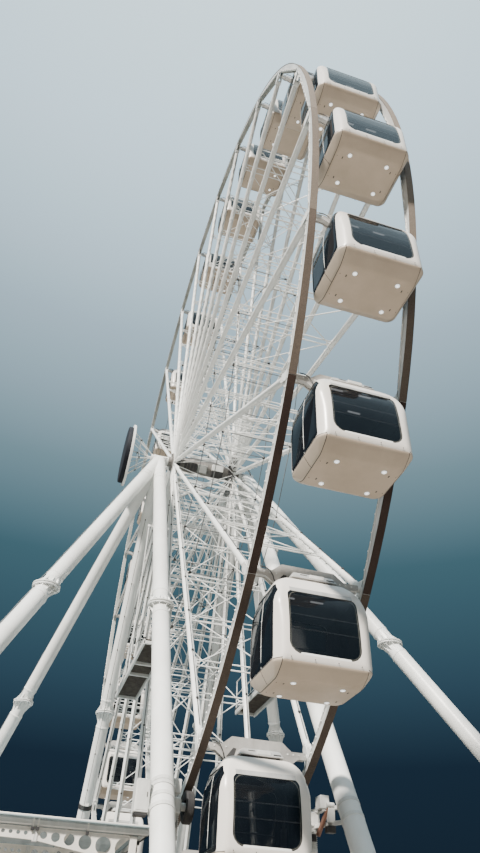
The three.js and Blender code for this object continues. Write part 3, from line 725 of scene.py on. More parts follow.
for name, side in SIDES.items():
    paths = []
    lamps = []
    for face in (-1, 1):
        x = side * RING_X + face * (HALF_RING - LIP)
        for start in CABIN_ANGLES:
            points, places = ring_rope(x + face * ROPE_RADIUS, start)
            paths.append(points)
            lamps.extend((p, Vector((face, 0, 0))) for p in places)
    ropes(f"ring_{name}_rope", paths, ROPE_RADIUS, BULB, "wheel", 4)
    studs(f"ring_{name}_lamps", lamps, BULB_RADIUS, BULB_HEIGHT, BULB, "wheel", 7, 0.55)

# %% [markdown]
# At every cabin two lengths of girder meet. Side plates hold them together and carry the pivot, and the
# spoke ends there in a short drum laid across the ring, with a dark bolt in its face. Gussets tie the drum
# to the girder. The outlines below are pairs of a step along the rim and a radius.

# %% Joint plates, drums and gussets
JOINT_PLATE = [(-0.12, 17.905), (-0.12, 17.50), (-0.07, 17.40), (0.07, 17.40), (0.12, 17.50),
               (0.12, 17.905)]
PLATE_THICKNESS = 0.014
SPOKE_DRUM_RADIUS = 0.12
SPOKE_DRUM_AT = 17.42
DRUM_PROFILE = [(0.10, 0), (SPOKE_DRUM_RADIUS, 0.014), (SPOKE_DRUM_RADIUS, 0.154), (0.10, 0.168)]
PIVOT_CAP = [(0.045, 0), (0.085, 0.004), (0.10, 0.02)]
GUSSET = [(-0.34, 17.835), (-0.10, 17.46), (0.10, 17.46), (0.34, 17.835)]
GUSSET_X = 0.055
GUSSET_HALF = 0.006
BOLT_PLACES = [(-0.09, 17.87), (0.09, 17.87), (-0.09, 17.62), (0.09, 17.62), (-0.05, 17.45), (0.05, 17.45)]


def joint_form(side):
    form = Form()
    bolts = []
    x = side * RING_X
    for angle in CABIN_ANGLES:
        outline = [on_wheel(0, radius, angle, step) for step, radius in JOINT_PLATE]
        gusset = [on_wheel(0, radius, angle, step) for step, radius in GUSSET]
        for face in (-1, 1):
            outer = x + face * HALF_RING
            plate(form, outline, (outer - face * PLATE_THICKNESS, 0, 0), (outer, 0, 0))
            inner = x + face * GUSSET_X
            plate(form, gusset, (inner - GUSSET_HALF, 0, 0), (inner + GUSSET_HALF, 0, 0))
        turned(form, on_wheel(x - HALF_RING + 0.016, SPOKE_DRUM_AT, angle), (1, 0, 0), DRUM_PROFILE, 16)
        turned(form, on_wheel(x + side * (HALF_RING + 0.0005), PIVOT_RADIUS, angle), (-side, 0, 0),
               PIVOT_CAP, 14)
        for step, radius in BOLT_PLACES:
            foot = on_wheel(x + side * (HALF_RING - 0.012), radius, angle, step)
            bolts.append((foot, Vector((side, 0, 0))))
    return form, bolts


for name, side in SIDES.items():
    form, bolts = joint_form(side)
    make_piece(f"ring_{name}_joints", form, [WHITE_STEEL], "wheel")
    studs(f"ring_{name}_bolts", bolts, 0.017, 0.012, GALVANISED, "wheel", 6)
    eyes = [(on_wheel(side * RING_X + face * (HALF_RING - 0.024), SPOKE_DRUM_AT, angle),
             Vector((face, 0, 0))) for angle in CABIN_ANGLES for face in (-1, 1)]
    studs(f"ring_{name}_drum_bolts", eyes, 0.06, 0.016, BLACK, "wheel", 10, 0.8)

# %% [markdown]
# ## The spokes
#
# A spoke frame is a ladder: two round tubes, one to each ring, held apart by pairs of thin struts, and
# stiffened by crossed rods. The tubes narrow towards the hub, where they are clamped between the flanges.
# Near the cabins there is nothing between the tubes, because the cabins of the upper half hang inwards.

# %% Spoke frames
SPOKE_HUB_X = 1.50
SPOKE_RADIUS = 0.095
SPOKE_ROOT_RADIUS = 0.05
SPOKE_START = 0.42
SPOKE_TIP = 17.34
STRUT_RADII = [3.0, 5.4, 7.8, 10.2, 12.6, 14.7]
OUTER_STRUTS = STRUT_RADII[-2:]
STRUT_HALF_GAP = 0.125
STRUT_RADIUS = 0.022
BRACE_RADIUS = 0.018
BRACE_OFFSET = 0.03
TIE_X = 1.25
TIE_RADII = [6.5, 9.9]
FRAMES_PER_SECTOR = 4
SECTORS = len(CABINS) // FRAMES_PER_SECTOR
FLANGE_RADIUS = 0.518
FLANGE_FOOT = 0.305
FLANGE_HALF = 0.07
FLANGE_STEPS = 12
FLANGE_GAP = 0.003
COLLARS = [1.72, 6.5, 9.9, 12.1]
COLLAR_PROFILE = [(0, -0.042), (0.011, -0.036), (0.011, 0.036), (0, 0.042)]
STRUT_PLATE_REACH = 0.19
BRACE_FOOT = (0.47, SPOKE_HUB_X - 0.08)
OUTER_STRUT_RADIUS = 0.03


def spoke_x(radius):
    return SPOKE_HUB_X + (RING_X - SPOKE_HUB_X) * radius / RIM_RADIUS


def spoke_tube(form, side, angle):
    foot = on_wheel(side * spoke_x(SPOKE_START), SPOKE_START, angle)
    tip = on_wheel(side * spoke_x(SPOKE_TIP), SPOKE_TIP, angle)
    profile = [(SPOKE_ROOT_RADIUS, 0)]
    for radius in COLLARS:
        distance = radius - SPOKE_START
        for thick, offset in COLLAR_PROFILE:
            profile.append((SPOKE_RADIUS + thick, distance + offset))
    profile.append((SPOKE_RADIUS, SPOKE_TIP - SPOKE_START))
    turned(form, foot, tip - foot, profile, 16)


def spoke_bracing(form, angle):
    for radius in STRUT_RADII:
        for offset in (-STRUT_HALF_GAP, STRUT_HALF_GAP):
            reach = radius + offset
            x = spoke_x(reach)
            rod(form, on_wheel(-x, reach, angle), on_wheel(x, reach, angle), STRUT_RADIUS, 8)
        for side in (-1, 1):
            x = side * (spoke_x(radius) - SPOKE_RADIUS - 0.004)
            bar(form, on_wheel(x, radius - STRUT_PLATE_REACH, angle),
                on_wheel(x, radius + STRUT_PLATE_REACH, angle), 0.014, 0.09, 0.003)
    stations = [BRACE_FOOT] + [(radius, TIE_X) for radius in TIE_RADII + OUTER_STRUTS]
    for (low, low_x), (high, high_x) in zip(stations, stations[1:]):
        for side in (-1, 1):
            offset = side * BRACE_OFFSET
            rod(form, on_wheel(side * low_x, low, angle, offset),
                on_wheel(-side * high_x, high, angle, offset), BRACE_RADIUS, 8)
    for radius in OUTER_STRUTS:
        for side in (-1, 1):
            rod(form, on_wheel(side * (TIE_X - 0.02), radius, angle),
                on_wheel(side * spoke_x(radius), radius, angle), OUTER_STRUT_RADIUS, 8)


def sector_flange(form, side, start, end):
    turn = end - start - 2 * FLANGE_GAP
    angles = [start + FLANGE_GAP + turn * i / FLANGE_STEPS for i in range(FLANGE_STEPS + 1)]
    outline = [on_wheel(0, FLANGE_RADIUS, a) for a in angles]
    outline += [on_wheel(0, FLANGE_FOOT, a) for a in reversed(angles)]
    middle = side * SPOKE_HUB_X
    plate(form, outline, (middle - FLANGE_HALF, 0, 0), (middle + FLANGE_HALF, 0, 0))


for sector in range(SECTORS):
    form = Form()
    first = sector * FRAMES_PER_SECTOR
    for k in range(first, first + FRAMES_PER_SECTOR):
        for side in (-1, 1):
            spoke_tube(form, side, cabin_angle(k))
        spoke_bracing(form, cabin_angle(k))
    for side in (-1, 1):
        sector_flange(form, side, cabin_angle(first) - STEP / 2,
                      cabin_angle(first + FRAMES_PER_SECTOR) - STEP / 2)
    make_piece(f"spoke_sector_{sector + 1}", form, [WHITE_STEEL], "wheel",
               [f"spokes_{sector + 1}"])

# %% [markdown]
# Thin dark ties run round the wheel from frame to frame at two levels, on both sides, and across between
# the two tubes of a frame. Where they meet sits a small black box, held off the tube by a short arm. These
# boxes are what makes the inside of the wheel look speckled.

# %% Ties, boxes and their arms
TIE_RADIUS = 0.015
BOX_HALF = 0.052
BOX_ARM_RADIUS = 0.026
ties = []
boxes = Form()
arms = Form()
for radius in TIE_RADII:
    for side in (-1, 1):
        x = side * TIE_X
        loop = [on_wheel(x, radius, angle) for angle in CABIN_ANGLES]
        ties.append(loop + [loop[0]])
        for angle in CABIN_ANGLES:
            bar(boxes, on_wheel(x - BOX_HALF, radius, angle), on_wheel(x + BOX_HALF, radius, angle),
                2 * BOX_HALF, 1.6 * BOX_HALF, 0.014, hint=forward(angle))
            rod(arms, on_wheel(x + side * BOX_HALF, radius, angle),
                on_wheel(side * (spoke_x(radius) - 0.08), radius, angle), BOX_ARM_RADIUS, 8)
    ties.extend([on_wheel(-TIE_X, radius, angle), on_wheel(TIE_X, radius, angle)] for angle in CABIN_ANGLES)
ropes("wheel_ties", ties, TIE_RADIUS, TIE_STEEL, "wheel", 6)
make_piece("wheel_tie_boxes", boxes, [BLACK], "wheel")
make_piece("wheel_tie_arms", arms, [WHITE_STEEL], "wheel")

# %% [markdown]
# Each spoke tube carries its own zigzag rope of lamps on the side that faces along the rim, and on the other
# side a dark cable in small black clamps.

# %% Lamp ropes and cables on the spokes
LAMP_PITCH = 0.27
ROPE_WAVE = 0.035
ROPE_START = 1.9
ROPE_END = 17.0
SPOKE_ROPE_RADIUS = 0.009
SPOKE_BULB = 0.024
CABLE_RADIUS = 0.012
CABLE_RADII = [2.3, 9.0, 17.2]
CLAMP_START = 2.60
CLAMP_PITCH = 1.95
CLAMP_COUNT = 8


def on_tube(side, radius, angle, along_rim, lift):
    """A place on the skin of a spoke tube, on its forward (1) or backward (-1) side."""
    return on_wheel(side * spoke_x(radius), radius, angle, along_rim * (SPOKE_RADIUS + lift))


for name, side in SIDES.items():
    paths = []
    lamps = []
    cables = []
    clamps = Form()
    for angle in CABIN_ANGLES:
        count = int((ROPE_END - ROPE_START) / LAMP_PITCH)
        path = []
        for i in range(count + 1):
            wave = Vector((ROPE_WAVE * (1, -1)[i % 2], 0, 0))
            path.append(on_tube(side, ROPE_START + i * LAMP_PITCH, angle, -1, 0.004) + wave)
            lamps.append((path[-1], -forward(angle)))
        paths.append(path)
        cables.append([on_tube(side, radius, angle, 1, 0.008) for radius in CABLE_RADII])
        for i in range(CLAMP_COUNT):
            radius = CLAMP_START + i * CLAMP_PITCH
            bar(clamps, on_tube(side, radius - 0.03, angle, 1, 0.012),
                on_tube(side, radius + 0.03, angle, 1, 0.012), 0.07, 0.05, 0.008)
    ropes(f"spokes_{name}_rope", paths, SPOKE_ROPE_RADIUS, BULB, "wheel", 4)
    studs(f"spokes_{name}_lamps", lamps, SPOKE_BULB, SPOKE_BULB, BULB, "wheel", 5, 0.5)
    ropes(f"spokes_{name}_cable", cables, CABLE_RADIUS, BLACK, "wheel", 5)
    make_piece(f"spokes_{name}_clamps", clamps, [BLACK], "wheel")

# %% [markdown]
# ## The cabins
#
# A cabin looks like a box that narrows towards its roof and floor, with chamfered corners. Such a body is
# a loft: an eight-sided outline at every height, where the four slanted sides appear only as far as the
# width and the depth leave room for them. Corners along the height are rounded by arcs first, so that roof,
# knee and skirt are soft bends, and the walls above the sill bulge a little, as in a moulded shell.

# %% Cabin body as a loft
END_VIEW = [(0, -2.60), (0.95, -2.60), (1.14, -2.27), (1.14, -1.30), (1.09, -0.70), (0.96, -0.38),
            (0.80, -0.26), (0, -0.26)]
DOOR_VIEW = [(0, -2.60), (0.59, -2.60), (0.94, -2.33), (0.94, -1.50), (0.87, -0.95), (0.71, -0.55),
             (0.48, -0.26), (0, -0.26)]
END_ROUND = [0, 0.16, 0.36, 4.0, 1.0, 0.4, 0.2, 0]
DOOR_ROUND = [0, 0.20, 0.36, 4.0, 1.4, 1.1, 0.08, 0]
CABIN_TOP = -0.26
CABIN_FOOT = -2.60
CHAMFER_REACH = 1.87
INSET_SHARE = 0.586
LEAST_CHAMFER = 0.13
CREASE = 0.24
CREASE_SHARE = 1.5
CREASE_STEPS = 4
ARC_STEPS = 5


def rounded(points, radii, closed=True, steps=ARC_STEPS):
    """An outline whose corners are replaced by arcs; an open one keeps its two ends."""
    outline = []
    count = len(points)
    if not isinstance(radii, (list, tuple)):
        radii = [radii] * count
    for i, corner in enumerate(points):
        corner = Vector(corner)
        if radii[i] == 0 or (not closed and i in (0, count - 1)):
            outline.append(corner)
            continue
        before = (Vector(points[i - 1]) - corner).normalized()
        after = (Vector(points[(i + 1) % count]) - corner).normalized()
        half = before.angle(after) / 2
        middle = corner + (before + after).normalized() * radii[i] / math.sin(half)
        first = (corner + before * radii[i] / math.tan(half) - middle).normalized()
        last = (corner + after * radii[i] / math.tan(half) - middle).normalized()
        for step in range(steps + 1):
            outline.append(middle + first.lerp(last, step / steps).normalized() * radii[i])
    return outline


END_CURVE = rounded(END_VIEW, END_ROUND, closed=False)
DOOR_CURVE = rounded(DOOR_VIEW, DOOR_ROUND, closed=False)


def half_at(curve, height):
    """How wide a half outline is at a height."""
    for (u0, z0), (u1, z1) in zip(curve, curve[1:]):
        if min(z0, z1) <= height <= max(z0, z1) and abs(z1 - z0) > 1e-9:
            return u0 + (u1 - u0) * (height - z0) / (z1 - z0)
    return curve[1][0]


def cabin_section(height, inset):
    x = half_at(END_CURVE, height) - inset
    y = half_at(DOOR_CURVE, height) - inset
    chamfer = max(LEAST_CHAMFER, x + y - CHAMFER_REACH + INSET_SHARE * inset)
    corners = [(x - chamfer, -y), (x, chamfer - y), (x, y - chamfer), (x - chamfer, y),
               (chamfer - x, y), (-x, y - chamfer), (-x, chamfer - y), (chamfer - x, -y)]
    outline = rounded(corners, min(CREASE, chamfer * CREASE_SHARE), steps=CREASE_STEPS)
    return [Vector((u, v, height)) for u, v in outline]


def cabin_loft(inset, low, high):
    """The cabin's body between two heights, drawn in by the inset."""
    heights = {round(z, 4) for u, z in END_CURVE + DOOR_CURVE}
    kept = sorted(z for z in heights if low + 0.004 < z < high - 0.004)
    form = Form()
    rings_to_shell(form, [cabin_section(z, inset) for z in [low] + kept + [high]])
    return form.mesh("cabin_loft")


def combined(mesh, cutter, operation):
    """One Boolean step, as plain data."""
    base = bpy.data.objects.new("base", mesh)
    tool = bpy.data.objects.new("tool", cutter)
    scene.collection.objects.link(base)
    scene.collection.objects.link(tool)
    modifier = base.modifiers.new("cut", "BOOLEAN")
    modifier.operation = operation
    modifier.solver = "EXACT"
    modifier.object = tool
    made = evaluated_mesh(base, "cut")
    bpy.data.objects.remove(tool)
    return made


outside = cabin_loft(0, CABIN_FOOT + 0.001, CABIN_TOP - 0.001)
print("cabin body:", triangles(outside), "triangles")

# %% [markdown]
# The window cutters are rounded rectangles pushed through the wall. The same cutters, a little smaller,
# shape the glass out of two slightly smaller lofts. So the panes follow every bend of the wall and sit just
# under its face. Thin blades cut the seams where the floor shell and the side skirts meet the body.

# %% Windows, doors and seams
WINDOW = (-0.81, 0.81, -2.18, -0.71)
WINDOW_TOP_CORNER, WINDOW_LOW_CORNER = 0.16, 0.27
DOOR_OUTLINE = [(-0.75, -2.28), (0.67, -2.28), (0.67, -0.62), (0.60, -0.55), (-0.60, -0.55), (-0.75, -0.75)]
DOOR_CORNER = 0.05
WALL = 0.06
ROOM = (-2.28, -0.34)
GLASS_INSET = (0.012, 0.026)
GLASS_GAP = 0.002
SEAM_WIDTH = 0.014
SEAM_DEPTH = 0.009
FLOOR_SEAM = -2.31
SKIRT_SEAM = -2.29
SIDE_SEAM = 0.95
BLADE_EDGE = 0.0005
BLADE_START_Y, BLADE_END_Y = 0.9, 1.2
BLADE_END_X = 1.4
BLADE_FOOT = -2.8
CUTTER_START = 0.42


def cutter(form, outline, across, start, end):
    """Pushes an outline of (across, height) pairs along the other level axis."""
    def at(point, depth):
        return Vector((point[0], depth, point[1])) if across == "x" else Vector((depth, point[0], point[1]))
    rings_to_shell(form, [[at(p, start) for p in outline], [at(p, end) for p in outline]])


def openings(shrink):
    form = Form()
    x0, x1, z0, z1 = WINDOW
    window = [(x0 + shrink, z0 + shrink), (x1 - shrink, z0 + shrink),
              (x1 - shrink, z1 - shrink), (x0 + shrink, z1 - shrink)]
    door = [(y - math.copysign(shrink, y), z - math.copysign(shrink, z + 1.4)) for y, z in DOOR_OUTLINE]
    for side in (-1, 1):
        radii = [WINDOW_LOW_CORNER - shrink] * 2 + [WINDOW_TOP_CORNER - shrink] * 2
        cutter(form, rounded(window, radii), "x", side * CUTTER_START, side * 1.2)
        cutter(form, rounded(door, DOOR_CORNER, steps=2), "y", side * 0.84, side * 1.4)
    return form.mesh("openings")


def seam_blades():
    """Three sets of thin blades that pass through the skin where the seams run."""
    half = SEAM_WIDTH / 2
    level, upright, middle = Form(), Form(), Form()
    for side in (-1, 1):
        side_block(level, side, (-SIDE_SEAM, BLADE_START_Y, FLOOR_SEAM - half),
                   (SIDE_SEAM, BLADE_END_Y, FLOOR_SEAM + half), BLADE_EDGE)
        side_block(level, side, (SIDE_SEAM, -BLADE_END_Y, SKIRT_SEAM - half),
                   (BLADE_END_X, BLADE_END_Y, SKIRT_SEAM + half), BLADE_EDGE, axis=0)
        side_block(upright, side, (SIDE_SEAM - half, -BLADE_END_Y, BLADE_FOOT),
                   (SIDE_SEAM + half, BLADE_END_Y, FLOOR_SEAM), BLADE_EDGE, axis=0)
        side_block(middle, side, (SIDE_SEAM, -half, BLADE_FOOT),
                   (BLADE_END_X, half, SKIRT_SEAM), BLADE_EDGE, axis=0)
    return [form.mesh("seams") for form in (level, upright, middle)]


def cut_seams(shell):
    """Takes a groove of the seam's depth out of the shell, along the blades."""
    for blades in seam_blades():
        core = cabin_loft(SEAM_DEPTH, CABIN_FOOT + SEAM_DEPTH, CABIN_TOP + 0.1)
        shell = combined(shell, combined(blades, core, "DIFFERENCE"), "DIFFERENCE")
    return shell


hollow = combined(outside, cabin_loft(WALL, *ROOM), "DIFFERENCE")
shell_mesh = cut_seams(combined(hollow, openings(0), "DIFFERENCE"))
pane = combined(cabin_loft(GLASS_INSET[0], -2.45, -0.4),
                cabin_loft(GLASS_INSET[1], -2.46, -0.39), "DIFFERENCE")
glass_mesh = combined(pane, openings(GLASS_GAP), "INTERSECT")
print("shell", triangles(shell_mesh), "and glass", triangles(glass_mesh), "triangles")

# %% [markdown]
# The shell is one moulding in five colours. Where a face lies decides its paint: the floor shell gets a
# beige painted shade, the side skirts a lighter beige painted shade, the seams beside the skirts are black,
# whatever faces the room gets a near-black painted shade, and the rest is white.

# %% Paint by place
INSIDE_DEPTH = 0.045
SHELL_PAINTS = [CABIN_WHITE, CABIN_UNDERSIDE_SHADE, CABIN_SKIRT_SHADE, INSIDE_SHADE, BLACK]


def depth_below_skin(point):
    x = half_at(END_CURVE, point.z)
    y = half_at(DOOR_CURVE, point.z)
    chamfer = max(LEAST_CHAMFER, x + y - CHAMFER_REACH)
    slanted = (x + y - chamfer - abs(point.x) - abs(point.y)) / math.sqrt(2)
    return min(x - abs(point.x), y - abs(point.y), slanted, CABIN_TOP - point.z, point.z - CABIN_FOOT)


def in_seam(at):
    """Whether the middle of a face lies in a groove beside the skirts; the one at the front stays pale."""
    half = SEAM_WIDTH / 2 + 0.0004
    if abs(at.x) < SIDE_SEAM - half:
        return False
    if abs(at.x) < SIDE_SEAM + half:
        return at.z < FLOOR_SEAM + half
    return abs(at.z - SKIRT_SEAM) < half or (abs(at.y) < half and at.z < SKIRT_SEAM)


def paint_shell(mesh):
    for face in mesh.polygons:
        at = face.center
        # The inside, the floor shell and the skirts are given painted shade.
        if depth_below_skin(at) > INSIDE_DEPTH:
            face.material_index = 3
        elif in_seam(at):
            face.material_index = 4
        elif abs(at.x) < SIDE_SEAM and at.z < FLOOR_SEAM:
            face.material_index = 1
        elif abs(at.x) > SIDE_SEAM and at.z < SKIRT_SEAM:
            face.material_index = 2
        else:
            face.material_index = 0


tidy(shell_mesh, 30)
tidy(glass_mesh, 30)
paint_shell(shell_mesh)
places = glass_mesh.attributes.new("cabin_place", "FLOAT_VECTOR", "POINT")
places.data.foreach_set("vector", [c for vertex in glass_mesh.vertices for c in vertex.co])
print("shell paints:", [sum(f.material_index == i for f in shell_mesh.polygons) for i in range(5)])

# %% [markdown]
# What is bolted to the shell comes next: the tapered roof unit with its foot, painted black as the shade in
# the gap under the unit, its hatch and slot, the yoke of two plates with the pivot pins and a black plate
# that paints the shade of an opening, the ledges of the windows with a grey painted shadow line under each,
# a grey metal strip over each window that paints the shade and sky reflection on the knee, the rails and
# light strips inside, the door seam with its two knobs, and the round lamps under the floor.

# %% Cabin fittings
YOKE = [(0.84, -0.27), (1.08, -0.09), (1.28, -0.09), (1.28, 0.07), (0.90, 0.07), (0.66, 0.26)]
YOKE_PLATE_Y = (0.062, 0.084)
YOKE_CORE_HALF = 0.05
ROOF_FOOT_SHADE = [(0.50, 0.39, -0.27), (0.50, 0.39, -0.20)]
ROOF_UNIT = [(0.57, 0.45, -0.205), (0.575, 0.455, -0.20), (0.57, 0.45, -0.18), (0.50, 0.39, -0.06),
             (0.47, 0.36, -0.045)]
YOKE_OPENING_SHADE = [(0.80, -0.22), (0.59, -0.20), (0.54, -0.01), (0.62, 0.0)]
LEDGE_HALF = 0.56
TOP_STRIP_SHADE_HALF = 0.74
RAIL_LEVELS = [-1.62, -1.30]
RAIL_HALF = 0.80
RAIL_INSET = 0.045
LAMP_X = 0.549
LAMP_Y = 0.422
LAMP_RING = [(0.066, 0), (0.066, 0.008), (0.060, 0.012), (0.052, 0.012)]
LAMP_PROFILE = [(0.054, 0), (0.054, 0.016), (0.048, 0.022), (0.018, 0.022), (0.016, 0.014), (0.008, 0.014),
                (0.007, 0.024), (0.003, 0.026)]
SLOT_PLACE = (0.17, 0.12)
DOT_PLACE = (0.33, 0.105)
HATCH_SIDES = 24
HATCH_HALF_WIDTH, HATCH_HALF_HEIGHT = 0.17, 0.045
CABIN_CABLE = [(-1.20, -0.10, 0.11), (-1.08, -0.115, 0.10), (-0.97, -0.13, 0.03), (-0.90, -0.14, -0.10),
               (-0.86, -0.14, -0.24), (-0.82, -0.14, -0.30)]
PIN_START = 1.20
PIN_PROFILE = [(0.05, 0), (0.05, 0.02), (0.085, 0.03), (0.085, 0.06), (0.07, 0.07)]
DOOR_SEAM_Y = -0.04
DOOR_SEAM_INSET = 0.014
DOOR_SEAM_HEIGHTS = [-2.26, -2.0, -1.6, -1.2, -0.98, -0.90, -0.82, -0.74, -0.66]
KNOB = [(0.016, 0), (0.020, 0.008), (0.012, 0.016)]
KNOB_HEIGHTS = [-1.22, -1.80]
SCREW = [(0.012, 0), (0.012, 0.006), (0.008, 0.009)]
FITTING_PAINTS = [WHITE_STEEL, MACHINE_GREY, BLACK, LAMP, CHROME, YOKE_METAL]
PAINT_GREY, PAINT_BLACK, PAINT_LAMP, PAINT_RAIL, PAINT_YOKE = range(1, 6)


def box_ring(half_x, half_y, z, corner=0.05):
    outline = rounded([(half_x, -half_y), (half_x, half_y), (-half_x, half_y), (-half_x, -half_y)], corner,
                      steps=3)
    return [Vector((u, v, z)) for u, v in outline]


def roof_unit(form):
    # The black foot is painted shade for the gap under the unit.
    rings_to_shell(form, [box_ring(*size) for size in ROOF_FOOT_SHADE], finish=PAINT_BLACK)
    rings_to_shell(form, [box_ring(*size) for size in ROOF_UNIT], finish=PAINT_YOKE)
    for side in (-1, 1):
        y = side * 0.436
        block(form, (0.30, y - 0.012, -0.165), (0.50, y + 0.012, -0.14), 0.004, finish=PAINT_BLACK)
        block(form, (-0.34, side * 0.41 - 0.012, -0.11), (-0.16, side * 0.41 + 0.012, -0.095), 0.004,
              finish=PAINT_BLACK)
        block(form, (-0.12, y - 0.020, -0.175), (0.24, y + 0.004, -0.085), 0.006, finish=PAINT_GREY)
    block(form, (-0.20, -0.16, -0.06), (0.20, 0.16, -0.045), 0.006, finish=PAINT_GREY)


def yoke(form):
    outline = YOKE + [(-x, z) for x, z in reversed(YOKE)]
    for side in (-1, 1):
        near, far = (side * y for y in YOKE_PLATE_Y)
        plate(form, [(x, 0, z) for x, z in outline], (0, near, 0), (0, far, 0), PAINT_YOKE)
        # The black plate is painted shade, the dark of an opening in the yoke.
        plate(form, [(-x, 0, z) for x, z in YOKE_OPENING_SHADE], (0, far - side * 0.004, 0),
              (0, far + side * 0.004, 0), PAINT_BLACK)
    core = [(x - math.copysign(0.03, x), z * 0.86) for x, z in outline]
    plate(form, [(x, 0, z) for x, z in core], (0, -YOKE_CORE_HALF, 0), (0, YOKE_CORE_HALF, 0), PAINT_YOKE)
    ring_face = RING_X - HALF_RING - 0.001
    for side in (-1, 1):
        turned(form, (side * PIN_START, 0, 0), (side, 0, 0),
               PIN_PROFILE + [(0.07, ring_face - PIN_START)], 16)
        for x in (0.80, 0.95, 1.10):
            for y in (-1, 1):
                turned(form, (side * x, y * YOKE_PLATE_Y[0], 0.0), (0, y, 0),
                       [(0.022, 0), (0.022, 0.034), (0.016, 0.038)], 8, finish=PAINT_GREY)


def window_trim(form):
    for side in (-1, 1):
        side_block(form, side, (-LEDGE_HALF, 0.905, -2.205), (LEDGE_HALF, 0.939, -2.142), 0.012)
        # The grey strip under each ledge is a painted shadow line.
        side_block(form, side, (-LEDGE_HALF - 0.01, 0.905, -2.214),
                   (LEDGE_HALF + 0.01, 0.933, -2.204), 0.002, PAINT_GREY)
        # The grey metal strip over each window paints the shade and sky reflection on the knee above the
        # glass.
        strip = []
        for z in (-0.735, -0.70, -0.66, -0.625):
            y = half_at(DOOR_CURVE, z)
            strip.append([Vector((x, side * (y + dy), z)) for x, dy in
                          ((-TOP_STRIP_SHADE_HALF, -0.02), (TOP_STRIP_SHADE_HALF, -0.02), (TOP_STRIP_SHADE_HALF, 0.006),
                           (-TOP_STRIP_SHADE_HALF, 0.006))])
        rings_to_shell(form, strip, finish=PAINT_YOKE)
        for z in RAIL_LEVELS:
            y = side * (half_at(DOOR_CURVE, z) - RAIL_INSET)
            rod(form, (-RAIL_HALF, y, z), (RAIL_HALF, y, z), 0.015, 8, PAINT_RAIL)
        for x in (-0.36, 0.36):
            block(form, (x - 0.16, side * 0.30 - 0.02, -0.375),
                  (x + 0.16, side * 0.30 + 0.02, -0.345), 0.004, finish=PAINT_LAMP)
        for x in (-0.78, -0.26, 0.26, 0.78):
            turned(form, (x, side * 0.936, -2.262), (0, side, 0), SCREW, 8, finish=PAINT_BLACK)


def door_seams(form):
    """A thin white edge where the two leaves meet, bent along the wall, with two knobs."""
    for side in (-1, 1):
        rings = []
        for z in DOOR_SEAM_HEIGHTS:
            x = half_at(END_CURVE, z) - DOOR_SEAM_INSET
            rings.append([Vector((side * (x + dx), DOOR_SEAM_Y + dy, z))
                          for dx, dy in ((0, -0.006), (0.008, -0.006), (0.008, 0.006), (0, 0.006))])
        rings_to_shell(form, rings)
        for z in KNOB_HEIGHTS:
            x = half_at(END_CURVE, z) - DOOR_SEAM_INSET
            turned(form, (side * x, DOOR_SEAM_Y, z), (side, 0, 0), KNOB, 10)


def beside(x, y, place):
    """A place under the floor, farther out than a lamp in x and farther in in y."""
    return x + math.copysign(place[0], x), y - math.copysign(place[1], y)


def floor_lamps(form):
    for x in (-LAMP_X, LAMP_X):
        for y in (-LAMP_Y, LAMP_Y):
            turned(form, (x, y, CABIN_FOOT + 0.004), (0, 0, -1), LAMP_RING, 20, finish=PAINT_GREY)
            turned(form, (x, y, CABIN_FOOT + 0.003), (0, 0, -1), LAMP_PROFILE, 20, finish=PAINT_LAMP)
            u, v = beside(x, y, SLOT_PLACE)
            block(form, (u - 0.014, v - 0.032, CABIN_FOOT - 0.003),
                  (u + 0.014, v + 0.032, CABIN_FOOT + 0.004), 0.001, finish=PAINT_BLACK)
            u, v = beside(x, y, DOT_PLACE)
            turned(form, (u, v, CABIN_FOOT + 0.003), (0, 0, -1), [(0.012, 0), (0.009, 0.006)], 8,
                   finish=PAINT_BLACK)


def hatch_and_cable(pivot):
    """The oval hatch on the roof unit's front and the cable that comes down to its corner."""
    paths = []
    for side in (-1, 1):
        oval = []
        for i in range(HATCH_SIDES):
            turn = 2 * math.pi * i / HATCH_SIDES
            rise = HATCH_HALF_HEIGHT * math.sin(turn)
            oval.append(pivot + Vector((0.05 + HATCH_HALF_WIDTH * math.cos(turn),
                                        side * (0.422 - 0.38 * rise), -0.145 + rise)))
        paths.append(oval + [oval[0]])
    return paths, [[pivot + Vector(p) for p in CABIN_CABLE]]


def moved(mesh, offset):
    copy = mesh.copy()
    copy.transform(Matrix.Translation(offset))
    return copy


form = Form()
for add_to in (roof_unit, yoke, window_trim, door_seams, floor_lamps):
    add_to(form)
fittings_mesh = form.mesh("fittings")
for name in CABINS:
    pivot = joints[name]
    make_piece(f"{name}_shell", moved(shell_mesh, pivot), SHELL_PAINTS, name, [name],
               quiet=True)
    make_piece(f"{name}_glass", moved(glass_mesh, pivot), [GLASS], name, quiet=True)
    make_piece(f"{name}_fittings", moved(fittings_mesh, pivot), FITTING_PAINTS, name,
               quiet=True)
    ovals, cable = hatch_and_cable(pivot)
    ropes(f"{name}_hatch", ovals, 0.006, MACHINE_GREY, name, 5, quiet=True)
    ropes(f"{name}_cable", cable, 0.014, BLACK, name, 6, quiet=True)
print(len(CABINS), "cabins; shell, glass and fittings have",
      triangles(shell_mesh), triangles(glass_mesh), triangles(fittings_mesh), "triangles")

# %% [markdown]
# ## Hub and axle heads
#
# The hub is a spindle, widest in its middle, with two pairs of flanges that clamp the feet of the spokes. It
# turns on a fixed axle, so its shell has a bore. Around its waist sit dark and grey boxes, some with slots,
# and from beside the flanges two dark cables run out to every spoke. A box is given by its ends in x, two
# radii, a turn, a width and a finish number.

